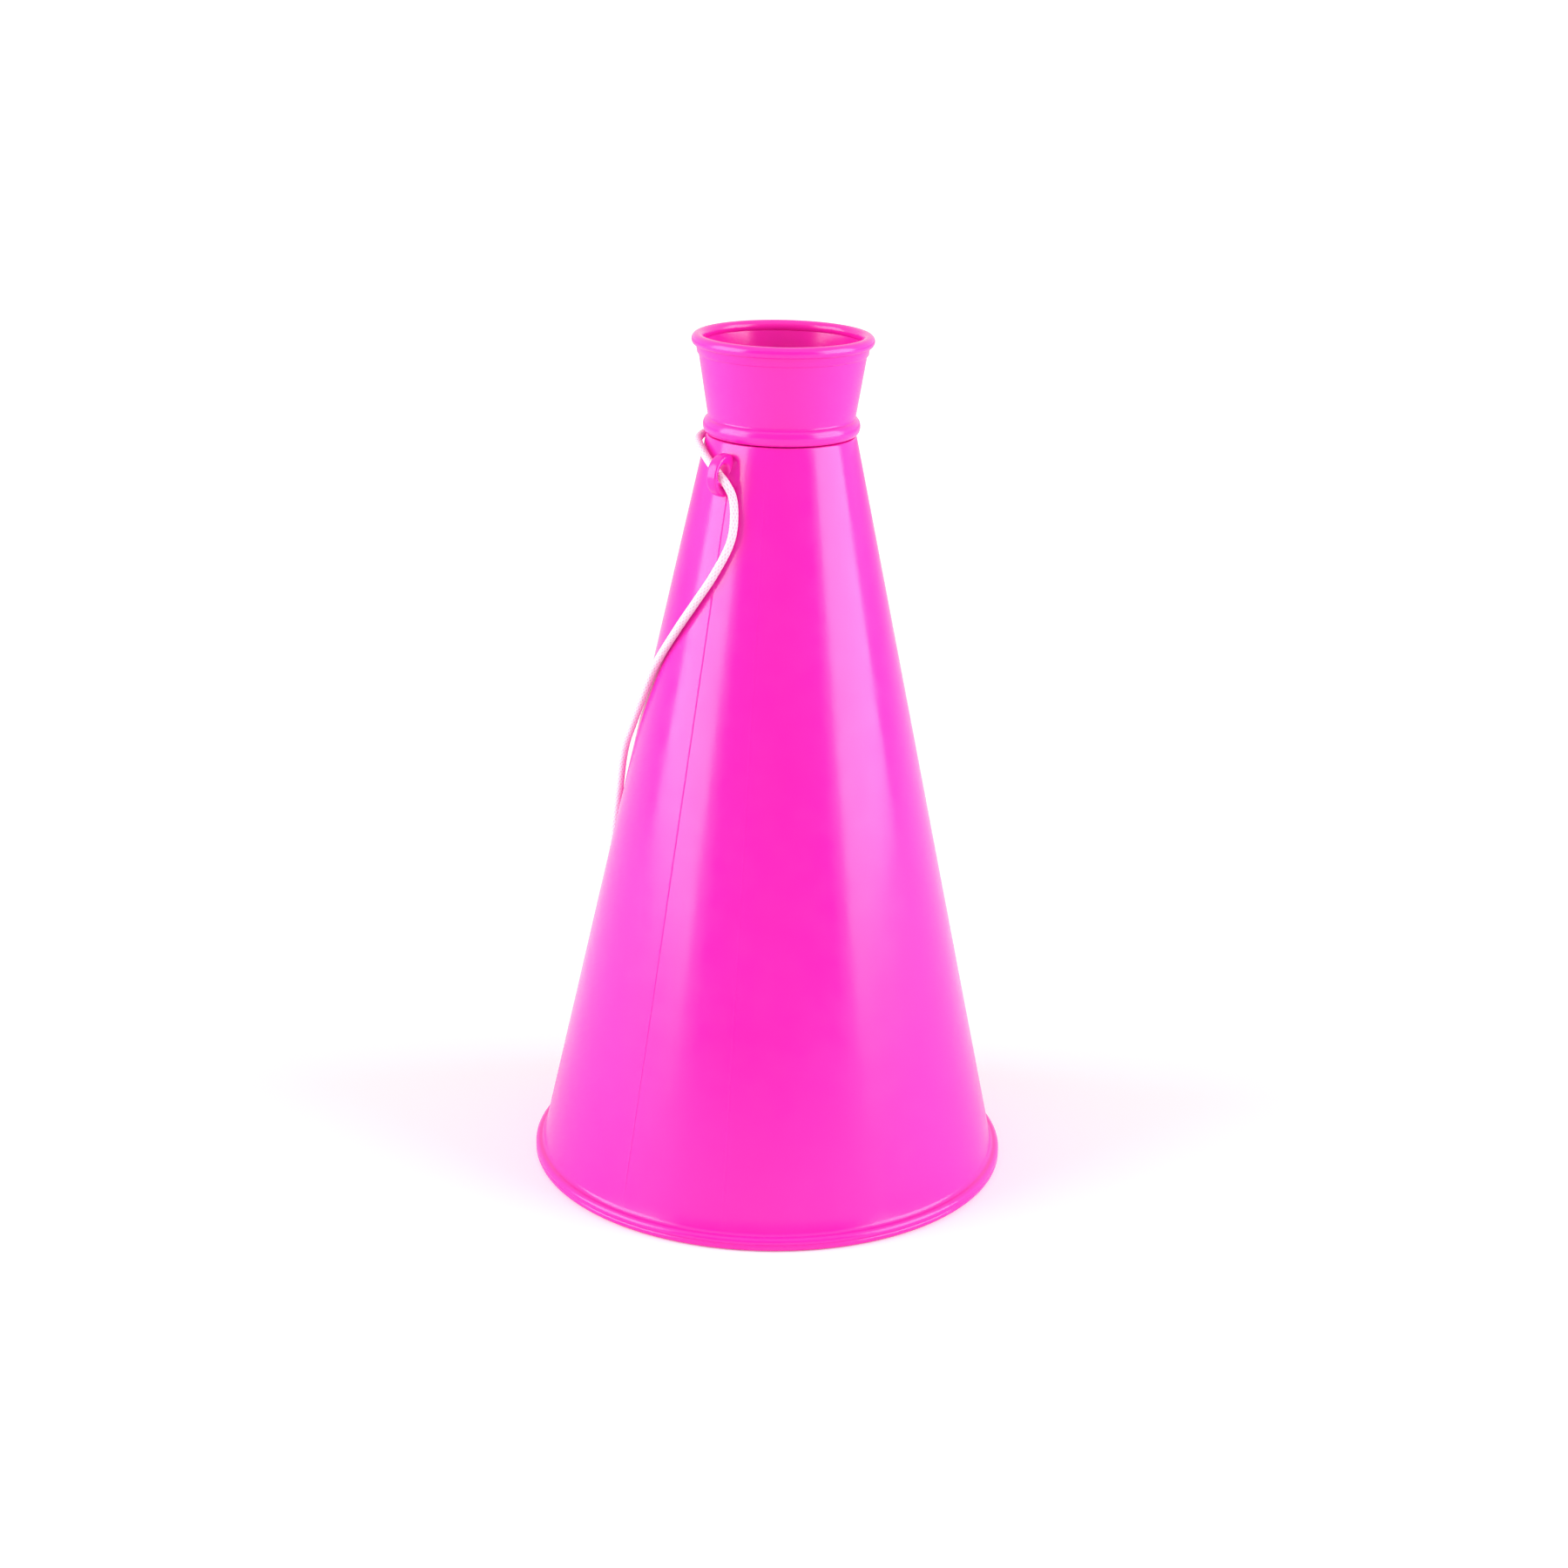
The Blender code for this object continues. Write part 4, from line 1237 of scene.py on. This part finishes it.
@dataclass(frozen=True)
class PhotoCamera:
    """Camera at the photograph's viewing angle."""

    place: Triple = (0.0, -0.655727, 0.316178)
    fall: float = 18.3853
    yaw: float = 0.19650
    roll: float = 1.14065
    lens: float = 63.971
    sensor: float = 36.0
    nearest: float = 0.01
    farthest: float = 100.0

    def build(self) -> None:
        """Make the camera: look along +Y and down, then yaw and roll."""
        fall, yaw, roll = (math.radians(angle) for angle in (self.fall, self.yaw, self.roll))
        ahead = Vector((0.0, math.cos(fall), -math.sin(fall)))
        above = Vector((0.0, math.sin(fall), math.cos(fall)))
        right = Vector((1.0, 0.0, 0.0))
        turned_ahead = ahead * math.cos(yaw) + right * math.sin(yaw)
        turned_right = right * math.cos(yaw) - ahead * math.sin(yaw)
        rolled_right = turned_right * math.cos(roll) + above * math.sin(roll)
        rolled_above = above * math.cos(roll) - turned_right * math.sin(roll)
        data = bpy.data.cameras.new("photo_camera")
        data.sensor_width = self.sensor
        data.lens = self.lens
        data.clip_start = self.nearest
        data.clip_end = self.farthest
        camera = bpy.data.objects.new("photo_camera", data)
        turn = Matrix((rolled_right, rolled_above, -turned_ahead)).transposed().to_4x4()
        camera.matrix_world = Matrix.Translation(self.place) @ turn
        bpy.context.scene.collection.objects.link(camera)
        bpy.context.scene.camera = camera


@dataclass(frozen=True)
class Studio:
    """Pale floor, two tall soft boxes beside the horn, and a dark card behind the camera.

    Lengths are metres, the azimuth is in degrees and the power in watts.
    """

    ambient: float = 0.55
    box_power: float = 15.0
    box_width: float = 0.95
    box_height: float = 1.15
    box_distance: float = 1.1
    box_azimuth: float = 75.0
    box_middle: float = 0.62
    floor_reach: float = 10.0
    floor_colour: Triple = (0.90, 0.90, 0.90)
    floor_roughness: float = 0.9
    grain_scale: float = 40.0
    grain_rise: float = 0.01
    floor_lift: float = 0.16
    far_lift: float = 0.60
    near_floor: float = 0.35
    far_floor: float = 1.30
    card_colour: Triple = (0.02, 0.02, 0.02)
    card_half_width: float = 1.3
    card_distance: float = 1.35
    card_height: float = 1.5

    def build_world(self) -> None:
        """White for what the camera and reflections see, and a soft even light for the rest."""
        world = bpy.data.worlds.new("studio")
        bpy.context.scene.world = world
        world.use_nodes = True
        tree = world.node_tree
        light = tree.nodes["Background"]
        white = tree.nodes.new("ShaderNodeBackground")
        for background, strength in ((light, self.ambient), (white, 1.0)):
            background.inputs["Color"].default_value = (1.0, 1.0, 1.0, 1.0)
            background.inputs["Strength"].default_value = strength
        rays = tree.nodes.new("ShaderNodeLightPath").outputs
        seen = rays["Is Camera Ray"]
        for ray in ("Is Glossy Ray", "Is Transmission Ray"):
            either = tree.nodes.new("ShaderNodeMath")
            either.operation = "MAXIMUM"
            tree.links.new(seen, either.inputs[0])
            tree.links.new(rays[ray], either.inputs[1])
            seen = either.outputs[0]
        mix = tree.nodes.new("ShaderNodeMixShader")
        for number, source in enumerate((seen, light.outputs[0], white.outputs[0])):
            tree.links.new(source, mix.inputs[number])
        tree.links.new(mix.outputs[0], tree.nodes["World Output"].inputs["Surface"])

    def build_boxes(self) -> None:
        """Two soft boxes, left and right of the horn, that reach down to the floor."""
        for name, azimuth in (("left_box", self.box_azimuth), ("right_box", -self.box_azimuth)):
            data = bpy.data.lights.new(name, "AREA")
            data.shape = "RECTANGLE"
            data.size = self.box_width
            data.size_y = self.box_height
            data.energy = self.box_power
            box = bpy.data.objects.new(name, data)
            away = Vector(outward(np.array(azimuth)))
            place = away * self.box_distance + Vector((0.0, 0.0, self.box_middle))
            turn = (-away).to_track_quat("-Z", "Y").to_matrix().to_4x4()
            box.matrix_world = Matrix.Translation(place) @ turn
            bpy.context.scene.collection.objects.link(box)

    def build_sheet(self, name: str, corners: list[Triple], material: Material) -> bpy.types.Object:
        """One flat stage sheet.

        Args:
            name: Name of the sheet.
            corners: Its four corners, anticlockwise as seen from its front.
            material: Its finish.

        Returns:
            The sheet.
        """
        mesh = bpy.data.meshes.new(name)
        mesh.from_pydata(corners, [], [(0, 1, 2, 3)])
        mesh.materials.append(material)
        sheet = bpy.data.objects.new(name, mesh)
        bpy.context.scene.collection.objects.link(sheet)
        return sheet

    def build_floor(self) -> None:
        """Pale matte floor that keeps the horn's shadow.

        The camera sees it lifted towards white, and more so far from the horn, where no lamp reaches.
        """
        sheet = NodeSheet("floor_paper")
        place = sheet.add("ShaderNodeTexCoord", {}).outputs["Object"]
        grain = sheet.noise(place, self.grain_scale, 3.0)
        lighter = tuple(value + self.grain_rise for value in self.floor_colour)
        sheet.put(sheet.shader, "Base Color", sheet.blend(grain, self.floor_colour, lighter))
        sheet.shader.inputs["Roughness"].default_value = self.floor_roughness
        sheet.shader.inputs["Specular IOR Level"].default_value = 0.0
        seen = sheet.add("ShaderNodeLightPath", {}).outputs["Is Camera Ray"]
        away = sheet.add("ShaderNodeVectorMath", {0: place}, operation="LENGTH").outputs["Value"]
        lift = sheet.add(
            "ShaderNodeMapRange",
            {
                "Value": away,
                "From Min": self.near_floor,
                "From Max": self.far_floor,
                "To Min": self.floor_lift,
                "To Max": self.far_lift,
            },
            interpolation_type="SMOOTHSTEP",
        ).outputs[0]
        glow = sheet.add("ShaderNodeEmission", {"Strength": sheet.math("MULTIPLY", seen, lift)})
        both = sheet.add("ShaderNodeAddShader", {0: sheet.shader.outputs[0], 1: glow.outputs[0]})
        output = sheet.tree.nodes["Material Output"]
        sheet.tree.links.new(both.outputs[0], output.inputs["Surface"])
        reach = self.floor_reach
        outline = ((-reach, -reach), (reach, -reach), (reach, reach), (-reach, reach))
        corners = [(across, along, 0.0) for across, along in outline]
        self.build_sheet("studio_floor", corners, sheet.material)

    def build_card(self) -> None:
        """Dark card behind the camera, which only the gloss sees."""
        sheet = NodeSheet("dark_card")
        sheet.shader.inputs["Base Color"].default_value = (*self.card_colour, 1.0)
        half = self.card_half_width
        high = self.card_height
        outline = ((half, 0.0), (-half, 0.0), (-half, high), (half, high))
        corners = [(across, -self.card_distance, height) for across, height in outline]
        card = self.build_sheet("studio_card", corners, sheet.material)
        card.visible_camera = False
        card.visible_diffuse = False
        card.visible_shadow = False
        card.visible_transmission = False

    def build(self) -> None:
        """Make the whole studio."""
        bpy.context.scene.view_settings.view_transform = "Standard"
        self.build_world()
        self.build_boxes()
        self.build_floor()
        self.build_card()


def main() -> None:
    """Build every piece, in the order cord, cone, lugs, mouthpiece, studio and camera."""
    logging.basicConfig(level=logging.INFO, format="%(message)s")
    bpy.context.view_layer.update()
    plastic = GlossyPlastic().material("pink_plastic_finish")
    left_lug = CordLug("left_cord_lug", 40.0)
    back_lug = CordLug("back_cord_lug", 220.0)
    cord = CarryingCord(left_lug, back_lug)
    cord.build(BraidedCord().material("cord_finish"), CoatedWire().material("tie_finish"))
    BellCone().build(plastic)
    left_lug.build(plastic)
    back_lug.build(plastic)
    Mouthpiece().build(plastic)
    Studio().build()
    PhotoCamera().build()


if __name__ == "__main__":
    main()
